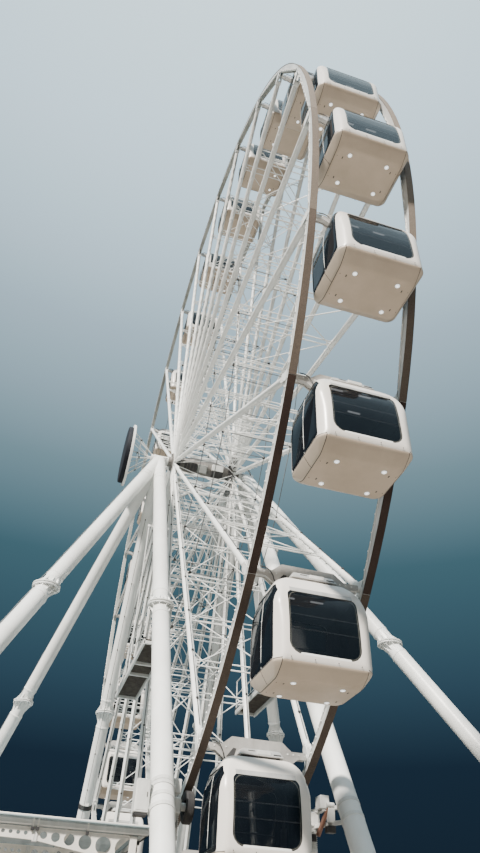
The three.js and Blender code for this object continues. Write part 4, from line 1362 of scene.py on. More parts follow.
# %% Hub
HUB_PROFILE = [(0.182, -1.78), (0.25, -1.78), (0.25, -1.63), (0.44, -1.63), (0.44, -1.571), (0.30, -1.571),
               (0.30, -1.43), (0.36, -1.42), (0.36, -1.37), (0.30, -1.36), (0.30, -1.15), (0.43, -0.60),
               (0.445, -0.60), (0.445, -0.54), (0.43, -0.54)]
HUB_SIDES = 48
FRONT_BELOW = math.radians(-40)
WAIST_BOXES = [(-1.02, -0.42, 0.33, 0.56, 0, 0.42, 1)]
WAIST_BOXES += [(x, x + 0.014, 0.56, 0.572, 0, 0.40, 3) for x in (-0.90, -0.74, -0.58)]
WAIST_BOXES += [(-0.36, 0.10, 0.40, 0.60, 0, 0.40, 0), (-0.32, 0.06, 0.60, 0.612, 0, 0.34, 2),
                (0.36, 0.92, 0.36, 0.54, -0.25, 0.40, 1), (0.34, 0.90, 0.42, 0.57, 0.35, 0.30, 2)]
FLANGE_BOX_COUNT = 12
FLANGE_BOX_X = 1.31
HUB_BOLT_COUNT = 48
BUNDLE_PATH = [(1.22, 0.34, 1), (1.33, 0.50, 1.2), (1.37, 0.72, 0.9), (1.42, 1.10, 0.4), (1.50, 1.60, 0.9)]
BUNDLE_SHIFTS = [0.05, 0.10]


def hub_box(form, x0, x1, inner, outer, angle, width, finish=0):
    """A box on the waist of the hub, at an angle, from an inner to an outer radius."""
    middle = (x0 + x1) / 2
    bar(form, on_wheel(middle, inner, angle), on_wheel(middle, outer, angle), x1 - x0, width, 0.012,
        finish=finish)


mirrored = [(radius, -x) for radius, x in reversed(HUB_PROFILE)]
form = Form()
turned(form, (0, 0, AXLE_HEIGHT), (1, 0, 0), HUB_PROFILE + mirrored, HUB_SIDES, closed=True)
make_piece("hub_spindle", form, [HUB_GREY], "wheel", ["hub"])

HUB_PAINTS = [GIRDER_SHADE, BLACK, MACHINE_GREY, DARK_GRATING]
form = Form()
for half_turn in (0, math.pi):
    angle = FRONT_BELOW + half_turn
    for x0, x1, inner, outer, turn, width, finish in WAIST_BOXES:
        hub_box(form, x0, x1, inner, outer, angle + turn, width, finish)
for side in (-1, 1):
    middle = side * FLANGE_BOX_X
    for k in range(FLANGE_BOX_COUNT):
        angle = REST_ANGLE + (k + 0.5) * 2 * math.pi / FLANGE_BOX_COUNT
        hub_box(form, middle - 0.05, middle + 0.05, 0.30, 0.42, angle, 0.09, 1 if k % 3 else 2)
make_piece("hub_boxes", form, HUB_PAINTS, "wheel")

hub_bolts = []
for side in (-1, 1):
    for k in range(HUB_BOLT_COUNT):
        angle = REST_ANGLE + (k + 0.5) * 2 * math.pi / HUB_BOLT_COUNT
        hub_bolts.append((on_wheel(side * 1.63, 0.405, angle), Vector((side, 0, 0))))
        hub_bolts.append((on_wheel(side * 1.43, 0.44, angle), Vector((-side, 0, 0))))
studs("hub_bolts", hub_bolts, 0.016, 0.018, BLACK, "wheel", 6)

bundles = []
for side in (-1, 1):
    for angle in CABIN_ANGLES:
        for shift in BUNDLE_SHIFTS:
            bundles.append([on_wheel(side * x, radius, angle + shift / radius * turn)
                            for x, radius, turn in BUNDLE_PATH])
ropes("hub_bundles", bundles, 0.016, BLACK, "wheel", 5)

# %% [markdown]
# Each axle head is a slim tube. The two inner legs end under it in rounded domes, and the outriggers run
# into it from outside. The left head carries the axle.

# %% Axle heads
LEG_TOP_X = 2.20
LEG_RADIUS = 0.275
LEG_STUB = 2.30
HEAD_RADIUS = 0.19
DOME = [(0.05, 0.10), (0.15, 0.125), (0.22, 0.17), (0.26, 0.24), (LEG_RADIUS, 0.34)]
SHAFT_RADIUS = 0.174
HEAD_START = 1.80
HEAD_PROFILE = [(0.204, 0), (0.204, 0.05), (HEAD_RADIUS, 0.06), (HEAD_RADIUS, 0.62), (0.204, 0.63),
                (0.204, 0.70), (0.17, 0.715), (0.17, 0.76)]


def leg_ends(name):
    kind, end, side = name.split("_")
    return Vector((SIDES[side] * LEG_TOP_X, 0, AXLE_HEIGHT)), mounts[f"foot_{name}"]


for name, side in SIDES.items():
    form = Form()
    turned(form, (side * HEAD_START, 0, AXLE_HEIGHT), (side, 0, 0), HEAD_PROFILE, 32)
    for end in ENDS:
        for kind in ("leg", "outrigger"):
            top, foot = leg_ends(f"{kind}_{end}_{name}")
            turned(form, top, foot - top, DOME + [(LEG_RADIUS, 2.10), (0.29, 2.11), (0.29, 2.16),
                                                  (LEG_RADIUS, 2.17), (LEG_RADIUS, LEG_STUB)], 32)
        lean = foot - top
        gusset = [top + Vector((side * 0.16, 0, -0.16)), top + Vector((side * 0.34, 0, -0.16)),
                  top + lean.normalized() * 0.75 + Vector((0, 0, 0.30))]
        plate(form, gusset, (0, -0.01, 0), (0, 0.01, 0))
    if side < 0:
        rod(form, (-1.81, 0, AXLE_HEIGHT), (1.7995, 0, AXLE_HEIGHT), SHAFT_RADIUS, 32)
    make_piece(f"axle_head_{name}_tubes", form, [WHITE_STEEL], "tower", [f"axle_head_{name}"])

# %% [markdown]
# A ribbed cable loops over the right head, and short dark cables run along both.

# %% Cables at the heads
loop = []
for i in range(15):
    turn = math.pi * i / 14
    loop.append((2.05 + 0.33 * math.cos(turn), -0.24 - 0.05 * math.sin(turn),
                 AXLE_HEIGHT + 0.02 + 0.30 * math.sin(turn)))
ropes("head_right_loop", [loop], 0.035, BLACK, "tower", 10)
collars = Form()
for a, b in zip(loop[1:-1], loop[2:]):
    middle = (Vector(a) + Vector(b)) / 2
    along = (Vector(b) - Vector(a)).normalized()
    rod(collars, middle - along * 0.008, middle + along * 0.008, 0.042, 10)
make_piece("head_right_collars", collars, [BULB], "tower")
HEAD_CABLE = [(1.86, -0.21, 0.03), (2.10, -0.25, -0.06), (2.22, -0.42, -0.30), (2.22, -0.75, -0.82)]
short = [[(side * x, y, AXLE_HEIGHT + rise) for x, y, rise in HEAD_CABLE] for side in (-1, 1)]
ropes("head_cables", short, 0.018, BLACK, "tower", 6)

# %% [markdown]
# The round sign stands outside the left head on thin tubes. It's a dark drum on a white disc, with a grey
# back. Its face is plain, and its centre hangs a little lower than the axle.

# %% Sign
SIGN_X = (-3.76, -3.64)
SIGN_RADIUS = 1.50
SIGN_DROP = Vector((0, 0, -0.14))
DRUM_RADIUS = 1.37
DRUM_DEPTH = 0.21
SIGN_STRUT_RADIUS = 0.026
SIGN_REACH = 1.10
DISC_PROFILE = [(DRUM_RADIUS - 0.06, 0), (SIGN_RADIUS - 0.02, 0), (SIGN_RADIUS, 0.012), (SIGN_RADIUS, 0.10),
                (SIGN_RADIUS - 0.02, 0.112), (DRUM_RADIUS - 0.06, 0.112)]
DRUM_SIDE = [(DRUM_RADIUS, 0), (DRUM_RADIUS, DRUM_DEPTH - 0.05), (DRUM_RADIUS - 0.015, DRUM_DEPTH - 0.018),
             (DRUM_RADIUS - 0.05, DRUM_DEPTH - 0.004), (DRUM_RADIUS - 0.08, DRUM_DEPTH - 0.001),
             (0.3, DRUM_DEPTH)]
sign_middle = Vector((SIGN_X[0], 0, AXLE_HEIGHT)) + SIGN_DROP
form = Form()
turned(form, sign_middle + Vector((0.0005, 0, 0)), (1, 0, 0), DISC_PROFILE, 96, closed=True)
turned(form, sign_middle, (-1, 0, 0), DRUM_SIDE, 96, finish=1)
turned(form, sign_middle + Vector((0.058, 0, 0)), (1, 0, 0),
       [(DRUM_RADIUS - 0.062, 0), (DRUM_RADIUS - 0.062, 0.036)], 96, finish=2)
for k in range(8):
    angle = k * math.pi / 4 + math.pi / 8
    bar(form, on_wheel(SIGN_X[0] + 0.105, 0.30, angle) + SIGN_DROP,
        on_wheel(SIGN_X[0] + 0.105, 1.33, angle) + SIGN_DROP, 0.024, 0.06, 0.004)
turned(form, (-2.56 - 0.0005, 0, AXLE_HEIGHT), (-1, 0, 0), [(0.185, 0), (0.185, 0.07), (0.16, 0.08)], 32)
knees = []
for k in range(4):
    angle = (k + 0.5) * math.pi / 2
    near = on_wheel(-2.60, 0.13, angle)
    far = on_wheel(SIGN_X[1] - 0.03, SIGN_REACH, angle)
    rod(form, near, far, SIGN_STRUT_RADIUS, 12)
    knees.append(near.lerp(far, 0.62))
    for neighbour in (-1, 1):
        rod(form, near.lerp(far, 0.12),
            on_wheel(SIGN_X[1] - 0.03, SIGN_REACH, angle + neighbour * 0.6), 0.014, 8)
for a, b in zip(knees, knees[1:] + knees[:1]):
    rod(form, a, b, 0.016, 8)
make_piece("sign_dish", form, [WHITE_STEEL, SIGN_DARK, SIGN_BACK], "tower", ["sign_left"])
form = Form()
clamp_half = Vector((0.045, 0.045, 0.045))
for knee in knees:
    block(form, knee - clamp_half, knee + clamp_half, 0.012)
make_piece("sign_clamps", form, [BLACK], "tower")

# %% [markdown]
# ## The legs
#
# Each leg is a tube of over half a metre that comes apart at mid-height. The joint is level, although the
# tube leans: a pair of bolted plates with upright fins. Small clips along the tube carry a dark cable, and
# its foot is a bolted plate with ribs.

# %% Legs
LEG_JOINT_AT = 0.48
FOOT_HALF = 0.575
FOOT_THICKNESS = 0.06
CLIP_STAND = {"leg": 0.11, "outrigger": 0.03}
CLIP_PITCH = 1.5
JOINT_RADIUS = 0.43
JOINT_PLATE_LOW, JOINT_PLATE_HIGH = 0.018, 0.060
FIN_LENGTH = 0.46
FIN_COUNT = 10
FIN_ROOT = 0.22
FIN_HALF = 0.009
JOINT_BOLTS_AT = 0.38
FOOT_BOLTS = [-0.47, 0, 0.47]
RIB_COUNT = 8
RIB_HALF = 0.008
RIB = [(0.0, 0.0), (0.26, 0.0), (0.0, 0.42)]
LEG_COLLAR = 0.287
LEG_NECK = 0.262


def leg_form(top, foot):
    form = Form()
    length = (foot - top).length
    joint = length * LEG_JOINT_AT
    r = LEG_RADIUS
    profile = [(r, LEG_STUB + 0.0005), (r, LEG_STUB + 0.12), (LEG_COLLAR, LEG_STUB + 0.125),
               (LEG_COLLAR, LEG_STUB + 0.165), (r, LEG_STUB + 0.17), (r, joint - 0.62),
               (LEG_COLLAR, joint - 0.61), (LEG_COLLAR, joint - 0.56), (r, joint - 0.55),
               (LEG_NECK, joint - 0.50), (LEG_NECK, joint + 0.50), (r, joint + 0.55),
               (LEG_COLLAR, joint + 0.56), (LEG_COLLAR, joint + 0.61), (r, joint + 0.62),
               (r, length - 0.42), (r, length - 0.05)]
    turned(form, top, foot - top, profile, 32, end_level=FOOT_THICKNESS / 2)
    along = (foot - top).normalized()
    middle = top + along * joint
    bolts = []
    for way in (-1, 1):
        low, high = JOINT_PLATE_LOW, JOINT_PLATE_HIGH
        turned(form, middle + Vector((0, 0, way * low)), (0, 0, way),
               [(JOINT_RADIUS - 0.01, 0), (JOINT_RADIUS, 0.008), (JOINT_RADIUS, high - low - 0.008),
                (JOINT_RADIUS - 0.01, high - low)], 36)
        for k in range(FIN_COUNT):
            turn = 2 * math.pi * k / FIN_COUNT
            out = Vector((math.cos(turn), math.sin(turn), 0))
            across = Vector((-out.y, out.x, 0))
            base = middle + Vector((0, 0, way * (high - 0.003)))
            fin = [base + out * FIN_ROOT, base + out * (JOINT_RADIUS - 0.03),
                   base - along * (way * FIN_LENGTH) + out * FIN_ROOT]
            plate(form, fin, across * -FIN_HALF, across * FIN_HALF)
            out = Matrix.Rotation(math.pi / FIN_COUNT, 3, "Z") @ out
            bolts.append((middle + out * JOINT_BOLTS_AT + Vector((0, 0, way * high)), Vector((0, 0, way))))
    block(form, foot + Vector((-FOOT_HALF, -FOOT_HALF, 0)),
          foot + Vector((FOOT_HALF, FOOT_HALF, FOOT_THICKNESS)))
    for k in range(RIB_COUNT):
        turn = (2 * k + 1) * math.pi / RIB_COUNT
        out = Vector((math.cos(turn), math.sin(turn), 0))
        across = Vector((-out.y, out.x, 0))
        rib = [foot + out * (0.25 + u) + Vector((0, 0, FOOT_THICKNESS - 0.002 + v)) for u, v in RIB]
        plate(form, rib, across * -RIB_HALF, across * RIB_HALF)
    for x in FOOT_BOLTS:
        for y in FOOT_BOLTS:
            if x or y:
                bolts.append((foot + Vector((x, y, FOOT_THICKNESS)), Vector((0, 0, 1))))
    return form, bolts


def leg_clips(top, foot, out_hint, stand):
    """Clips at equal steps: two thin legs of a V, a clamp at their tip, and the cable they carry."""
    along = (foot - top).normalized()
    out = (out_hint - along * out_hint.dot(along)).normalized()
    across = along.cross(out)
    rods = Form()
    clamps = Form()
    path = []
    reach = (foot - top).length - 1.2
    joint = (foot - top).length * LEG_JOINT_AT
    distance = LEG_STUB + 0.7
    while distance < reach:
        at = top + along * distance
        tip = at + out * (LEG_RADIUS + stand)
        if abs(distance - joint) > 0.5:
            for way in (-1, 1):
                rod(rods, at + out * (LEG_RADIUS - 0.01) + across * (way * 0.05), tip, 0.010, 6)
            bar(clamps, tip - along * 0.035, tip + along * 0.035, 0.05, 0.045, 0.008)
        path.append(tip + out * 0.02)
        path.append(tip + out * 0.006 + along * CLIP_PITCH / 2)
        distance += CLIP_PITCH
    return rods, clamps, path


for name in [n for n in frame["nodes"] if n.startswith(("leg_", "outrigger_"))]:
    kind, end, side = name.split("_")
    top, foot = leg_ends(name)
    form, bolts = leg_form(top, foot)
    make_piece(f"{name}_tube", form, [WHITE_STEEL], "tower", [name])
    studs(f"{name}_bolts", bolts, 0.026, 0.03, GALVANISED, "tower", 6)
    hints = {"outrigger": (SIDES[side], 0.25, 0.7), "leg": (0.2 * SIDES[side], -ENDS[end], 0.2)}
    rods, clamps, path = leg_clips(top, foot, Vector(hints[kind]), CLIP_STAND[kind])
    make_piece(f"{name}_clips", rods, [WHITE_STEEL], "tower", quiet=True)
    make_piece(f"{name}_clamps", clamps, [BLACK], "tower", quiet=True)
    ropes(f"{name}_cable", [path], 0.010, BLACK if kind == "leg" else TIE_STEEL, "tower", 5,
          quiet=True)

# %% [markdown]
# ## The drives
#
# Four rubber tyres stand against the outer faces of the rings, low down on both sides. Each has a gearbox
# with a ribbed motor, held from the inner leg by two arms and a slanting lever, and boxes for its wiring. A
# tyre is a turned ring with grooves; its rim is a separate disc with bolts. The boxes and the lever are bars
# with two ends, a width, a depth, an edge and a finish number.

# %% Drive tyres and their motors
TYRE_PROFILE = [(0.17, 0.030), (0.20, 0.010), (0.26, 0.002), (0.33, 0.0), (0.350, 0.012),
                (0.360, 0.034), (0.360, 0.058), (0.350, 0.061), (0.350, 0.069), (0.360, 0.072),
                (0.360, 0.096), (0.350, 0.099)]
TYRE_WIDTH = 0.20
RIM_DISC = [(0.171, 0.045), (0.150, 0.050), (0.140, 0.085), (0.09, 0.09), (0.09, 0.288)]
GEARBOX_X = (1.6205, 1.92)
MOTOR_AT = 1.77
MOTOR_RANGE = (-0.10, -0.72)
ARM_RISES = [-0.15, 0.19]
DRIVE_PLATE_HALF = 0.32
DRIVE_BARS = [((1.88, 0.34, 0.31), (1.88, 0.66, 0.31), 0.24, 0.30, 0.012, 0),
              ((2.02, 0.60, 0.02), (2.02, 0.74, 0.02), 0.17, 0.32, 0.012, 0),
              ((2.00, 0.56, -0.28), (2.00, 0.74, -0.28), 0.22, 0.15, 0.01, 2),
              ((1.98, 0.70, 0.25), (1.80, 0.34, -0.38), 0.07, 0.12, 0.008, 3)]
ARM_COLLAR = [(0.28, 0), (0.286, 0.005), (0.286, 0.095), (0.28, 0.10)]


def leg_axis_at(side, end, z):
    top, foot = leg_ends(f"leg_{end}_{side}")
    return top.lerp(foot, (AXLE_HEIGHT - z) / AXLE_HEIGHT)


def leg_collar(form, side, end, z, profile, finish=0):
    """A ring round an inner leg with its middle at a height; gives back the leg's axis there."""
    place = leg_axis_at(side, end, z)
    along = (leg_axis_at(side, end, z - 1) - place).normalized()
    turned(form, place - along * (profile[-1][1] / 2), along, profile, 28, finish=finish)
    return place


def drive_tyre_form(side, centre):
    form = Form()
    start = Vector((side * (RING_X - TYRE_WIDTH / 2), centre.y, centre.z))
    other = [(radius, TYRE_WIDTH - x) for radius, x in reversed(TYRE_PROFILE)]
    turned(form, start, (side, 0, 0), TYRE_PROFILE + other, 40, closed=True)
    turned(form, start, (side, 0, 0), RIM_DISC, 28, finish=1)
    turns = [2 * math.pi * k / 6 for k in range(6)]
    return form, [(start + Vector((side * 0.086, 0.115 * math.cos(t), 0.115 * math.sin(t))),
                   Vector((side, 0, 0))) for t in turns]


def drive_unit_form(side_name, end, centre):
    side = SIDES[side_name]
    form = Form()

    def at(x, y, z):
        """A place beside the wheel; y counts from the tyre towards the leg's foot."""
        return Vector((side * x, centre.y + ENDS[end] * y, centre.z + z))

    near, far = GEARBOX_X
    bar(form, at(near, 0, 0), at(far, 0, 0), 0.34, 0.34, 0.03, hint=Vector((0, 0, 1)))
    for x in (near + 0.02, far - 0.05):
        bar(form, at(x, 0, 0), at(x + 0.03, 0, 0), 0.37, 0.37, 0.02, hint=Vector((0, 0, 1)))
    start, stop = MOTOR_RANGE
    profile = [(0.13, 0)]
    distance = 0.08
    while distance < stop * -1 + start - 0.12:
        profile += [(0.118, distance), (0.14, distance + 0.008), (0.14, distance + 0.018),
                    (0.118, distance + 0.026)]
        distance += 0.04
    profile += [(0.14, start - stop - 0.10), (0.14, start - stop - 0.02), (0.10, start - stop)]
    turned(form, at(MOTOR_AT, 0, start), (0, 0, -1), profile, 24, finish=1)
    bar(form, at(MOTOR_AT, 0.10, -0.40), at(MOTOR_AT, 0.20, -0.40), 0.12, 0.16, 0.01, finish=2)
    bar(form, at(far + 0.012, 0.02, -DRIVE_PLATE_HALF), at(far + 0.012, 0.02, DRIVE_PLATE_HALF),
        0.024, 0.24, 0.005)
    bar(form, at(1.87, 0.31, 0.13), at(1.87, 0.64, 0.13), 0.03, 0.10, 0.006, hint=Vector((0, 0, 1)))
    for a, b, width, depth, edge, finish in DRIVE_BARS:
        bar(form, at(*a), at(*b), width, depth, edge, finish=finish)
    turned(form, at(1.90, 0.70, 0.24), (side, 0, 0),
           [(0.05, 0), (0.06, 0.008), (0.06, 0.19), (0.05, 0.20)], 16)
    turned(form, at(far + 0.02, 0, 0), (side, 0, 0), [(0.10, 0), (0.10, 0.02), (0.06, 0.03)], 20, finish=1)
    for rise in ARM_RISES:
        root = at(MOTOR_AT, 0, rise)
        grip = leg_axis_at(side_name, end, root.z)
        bar(form, root, root.lerp(grip, 1 - 0.24 / (grip - root).length), 0.09, 0.08, 0.01,
            hint=Vector((0, 0, 1)))
        leg_collar(form, side_name, end, root.z, ARM_COLLAR)
    return form


for side_name, side in SIDES.items():
    for end in ENDS:
        body = f"drive_tyre_{end}_{side_name}"
        unit = f"drive_unit_{end}_{side_name}"
        form, bolts = drive_tyre_form(side, joints[body])
        make_piece(f"{body}_ring", form, [RUBBER, MACHINE_GREY], body, [body])
        studs(f"{body}_bolts", bolts, 0.014, 0.014, GALVANISED, body, quiet=True)
        arm_paint = GIRDER_WHITE if side < 0 else POST_BROWN
        make_piece(f"{unit}_set", drive_unit_form(side_name, end, joints[body]),
                   [MACHINE_GREY, MACHINE_GREY, BLACK, arm_paint], "tower", [unit])

# %% [markdown]
# ## Gangways and cabinet
#
# A short service gangway hangs beside each front inner leg. From below one sees its dark grating between
# pale edge beams. The railing posts stand in black feet.

# %% Gangways
WALK_X = (1.90, 2.70)
WALK_Y = (-6.15, -0.75)
WALK_TOP = 9.85
EDGE_DEPTH = 0.18
RAIL_HEIGHTS = [0.54, 1.07]
GRATE_PITCH = 0.09
HANGER_Y = -3.30
CROSS_BEAM_Y = [WALK_Y[0], -4.35, HANGER_Y, WALK_Y[1] - 0.08]
POST_RADIUS = 0.022


def railing(form, a, b, bays, black=None):
    a, b = Vector(a), Vector(b)
    for k in range(bays + 1):
        foot = a.lerp(b, k / bays)
        rod(form, foot, foot + Vector((0, 0, RAIL_HEIGHTS[-1])), POST_RADIUS, 10)
        if black is not None:
            block(form, foot - Vector((0.045, 0.045, 0.012)), foot + Vector((0.045, 0.045, 0.07)), 0.008,
                  finish=black)
    for height in RAIL_HEIGHTS:
        rod(form, a + Vector((0, 0, height)), b + Vector((0, 0, height)), 0.021, 10)
    rod(form, a + Vector((0, 0, 0.10)), b + Vector((0, 0, 0.10)), 0.012, 8)


def gangway_form(side_name):
    side = SIDES[side_name]
    form = Form()
    x0, x1 = sorted(side * x for x in WALK_X)
    y0, y1 = WALK_Y
    block(form, (x0 + 0.02, y0, WALK_TOP - 0.012), (x1 - 0.02, y1, WALK_TOP), 0.003, finish=1)
    for i in range(int((y1 - y0) / GRATE_PITCH)):
        y = y0 + 0.05 + i * GRATE_PITCH
        block(form, (x0 + 0.03, y, WALK_TOP - 0.055), (x1 - 0.03, y + 0.012, WALK_TOP - 0.012),
              0.002, finish=1)
    for x in (x0, x1 - 0.06):
        block(form, (x, y0, WALK_TOP - EDGE_DEPTH), (x + 0.06, y1, WALK_TOP - 0.01), 0.008)
        railing(form, (x + 0.03, y0 + 0.05, WALK_TOP - 0.01), (x + 0.03, y1 - 0.05, WALK_TOP - 0.01), 3, 2)
    for y in CROSS_BEAM_Y:
        block(form, (x0 + 0.01, y, WALK_TOP - 0.15), (x1 - 0.01, y + 0.08, WALK_TOP - 0.05), 0.006)
    middle = (x0 + x1) / 2
    root = leg_axis_at(side_name, "front", WALK_TOP)
    block(form, (middle - 0.12, root.y + 0.24, WALK_TOP - EDGE_DEPTH),
          (middle + 0.12, y0 + 0.2, WALK_TOP - 0.02), 0.01)
    top, foot = leg_ends(f"leg_front_{side_name}")
    grip_z = AXLE_HEIGHT * (1 + HANGER_Y / -foot.y) - 0.13
    for x in (x0 + 0.03, x1 - 0.03):
        rod(form, (x, HANGER_Y, WALK_TOP - 0.04), (x, HANGER_Y, grip_z), 0.025, 10)
        leg_face = side * LEG_TOP_X + math.copysign(0.24, x - side * LEG_TOP_X)
        rod(form, (x, HANGER_Y, grip_z), (leg_face, HANGER_Y, grip_z), 0.03, 10)
        block(form, (x - 0.05, HANGER_Y - 0.05, grip_z - 0.06),
              (x + 0.05, HANGER_Y + 0.05, grip_z + 0.06), 0.01)
    return form


for side_name in SIDES:
    make_piece(f"gangway_{side_name}_walk", gangway_form(side_name), [GIRDER_WHITE, DARK_GRATING, BLACK],
               "tower", [f"gangway_{side_name}"])

# %% [markdown]
# A control cabinet is clamped to the left front leg, and the leg behind it carries a dark clamp with a small
# box. The cabinet's blocks are given by x and by their distance from its middle in y and z.

# %% Control cabinet
CABINET_WIDTH = 0.32
CABINET_COLLAR = [(0.283, 0), (0.29, 0.004), (0.29, 0.096), (0.283, 0.1)]
CLAMP_LEVEL = 7.7
CLAMP_COLLAR = [(0.28, 0), (0.30, 0.01), (0.30, 0.19), (0.28, 0.20)]
cabinet_low, cabinet_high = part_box("control_cabinet")
x0, x1 = cabinet_low.x, cabinet_low.x + CABINET_WIDTH
middle_z = (cabinet_low.z + cabinet_high.z) / 2
axis = leg_axis_at("left", "front", middle_z)
form = Form()
for start, stop, ys, zs, edge, finish in (
        (x0, x1, (-0.15, 0.15), (-0.30, 0.345), 0.012, 0),
        (x0, x1, (-0.15, 0.15), (0.335, 0.36), 0.01, 0),
        (x0 + 0.02, x1 - 0.02, (-0.13, 0.13), (-0.36, -0.295), 0.006, 1),
        (x0 + 0.03, x1 - 0.03, (-0.156, -0.148), (-0.26, 0.31), 0.003, 0),
        (x1 - 0.07, x1 - 0.05, (-0.166, -0.155), (0, 0.10), 0.003, 1)):
    block(form, (start, axis.y + ys[0], middle_z + zs[0]), (stop, axis.y + ys[1], middle_z + zs[1]),
          edge, finish)
for level in (middle_z - 0.24, middle_z + 0.24):
    block(form, (x1 - 0.01, axis.y - 0.04, level - 0.04),
          (axis.x - 0.22, axis.y + 0.04, level + 0.04), 0.006)
    leg_collar(form, "left", "front", level, CABINET_COLLAR)
make_piece("control_cabinet_box", form, [MACHINE_GREY, BLACK], "tower", ["control_cabinet"])

form = Form()
here = leg_collar(form, "left", "back", CLAMP_LEVEL, CLAMP_COLLAR, 1)
block(form, here + Vector((-0.13, -0.335, -0.07)), here + Vector((0.11, -0.285, 0.08)), 0.01)
make_piece("leg_clamp", form, [MACHINE_GREY, BLACK], "tower")

# %% [markdown]
# ## Deck and steps
#
# The boarding deck is a row of planks on a frame of beams and posts, with rails on its outer sides. It
# stands free of the wheel, on posts of its own.

# %% Boarding deck
DECK_X = (-8.40, -1.20)
DECK_HALF_Y = 4.60
DECK_TOP = 1.10
DECK_THICKNESS = 0.14
PLANK = 0.30
PLANK_COUNT = 24
POST_ROWS = [-4.45, -1.50, 1.50, 4.45]
DECK_BEAMS = [-DECK_HALF_Y + 0.03, -3.0, -1.5, 0, 1.5, 3.0, DECK_HALF_Y - 0.03]
RAIL_SETBACK = 0.70
STEPS_HALF = 1.50
STEP_COUNT = 5
STEP_GOING = 0.29

form = Form()
x0, x1 = DECK_X
for i in range(PLANK_COUNT):
    x = x0 + i * PLANK
    block(form, (x + 0.003, -DECK_HALF_Y, DECK_TOP - 0.04),
          (x + PLANK - 0.003, DECK_HALF_Y, DECK_TOP), 0.004)
for y in DECK_BEAMS:
    block(form, (x0, y - 0.03, DECK_TOP - DECK_THICKNESS), (x1, y + 0.03, DECK_TOP - 0.041), 0.005)
for x in (x0, (x0 + x1) / 2 - 0.03, x1 - 0.06):
    block(form, (x, -DECK_HALF_Y, DECK_TOP - DECK_THICKNESS),
          (x + 0.06, DECK_HALF_Y, DECK_TOP - 0.041), 0.005)
for x in (x0 + 0.15, (x0 + x1) / 2, x1 - 0.15):
    for y in POST_ROWS:
        block(form, (x - 0.07, y - 0.07, 0.012), (x + 0.07, y + 0.07, DECK_TOP - 0.06), 0.01)
        block(form, (x - 0.15, y - 0.15, 0), (x + 0.15, y + 0.15, 0.014), 0.003)
rail_x = (x0 + 0.04, x1 - RAIL_SETBACK)
for end in (-1, 1):
    y = end * (DECK_HALF_Y - 0.04)
    railing(form, (rail_x[0], y, DECK_TOP - 0.01), (rail_x[1], y, DECK_TOP - 0.01), 4)
    railing(form, (rail_x[0], y, DECK_TOP - 0.01),
            (rail_x[0], end * (STEPS_HALF + 0.04), DECK_TOP - 0.01), 2)
make_piece("deck_planks", form, [GALVANISED], "tower", ["boarding_deck"])

form = Form()
rise = DECK_TOP / (STEP_COUNT + 1)
x1 = DECK_X[0] - 0.001
for k in range(STEP_COUNT):
    level = DECK_TOP - rise * (k + 1)
    block(form, (x1 - STEP_GOING * (k + 1) - 0.01, -STEPS_HALF + 0.02, level - 0.04),
          (x1 - STEP_GOING * k - 0.002, STEPS_HALF - 0.02, level), 0.006)
x_foot = x1 - STEP_COUNT * STEP_GOING
stringer = [(x1, DECK_TOP - 0.03), (x_foot, rise * 0.4), (x_foot, 0.0), (x_foot + 0.35, 0.0),
            (x1, DECK_TOP - 0.4)]
for y in (-STEPS_HALF, STEPS_HALF - 0.05):
    plate(form, [(x, 0, z) for x, z in stringer], (0, y, 0), (0, y + 0.05, 0))
    post_y = y + 0.025
    for x, foot in ((x_foot + 0.06, 0.10), (x1 - 0.08, DECK_TOP - 0.12)):
        rod(form, (x, post_y, foot), (x, post_y, foot + 1.05), 0.021, 10)
    for lift in (0.55, 1.03):
        rod(form, (x_foot + 0.06, post_y, 0.10 + lift),
            (x1 - 0.08, post_y, DECK_TOP - 0.12 + lift), 0.019, 10)
make_piece("deck_steps_set", form, [GALVANISED], "tower", ["deck_steps"])

# %% [markdown]
# ## The canopy
#
# The roof over the boarding side rests on seven beams that grow deeper towards the wheel, faster from the
# splice on. Their webs have a row of round holes, which also grow there. One web is cut with a Boolean and
# copied, and lips, splice plates and purlins are added round it.

# %% Canopy beams
CANOPY_X = (-9.0, -2.55)
CANOPY_HALF_Y = 8.40
CANOPY_TOP = 4.50
SHEET = 0.06
BEAM_COUNT = 7
WEB_TOP = 4.285
WEB_END = -2.72
SPLICE_X = -4.85
SPLICE_DEPTH = 0.25
TAPER_OUT, TAPER_IN = 0.024, 0.142
POST_HALF = 0.10
WEB_HALF = 0.03
LIP_HALF_Y = 0.045
PURLINS = [CANOPY_X[0] + 0.06, -7.4, -5.7, -4.1, CANOPY_X[1] - 0.16]
LAST_HOLE = -2.834
HOLE_GAP = 0.085
HOLE_SPACING = 1.86
SMALL_HOLE = 0.043
FIRST_HOLE, FIRST_HOLE_X = 0.078, -4.67
HOLE_GROWTH = 0.074


def beam_depth(x):
    return SPLICE_DEPTH + (x - SPLICE_X) * (TAPER_IN if x > SPLICE_X else TAPER_OUT)


def hole_radius(x):
    return FIRST_HOLE + HOLE_GROWTH * (x - FIRST_HOLE_X) if x > SPLICE_X else SMALL_HOLE


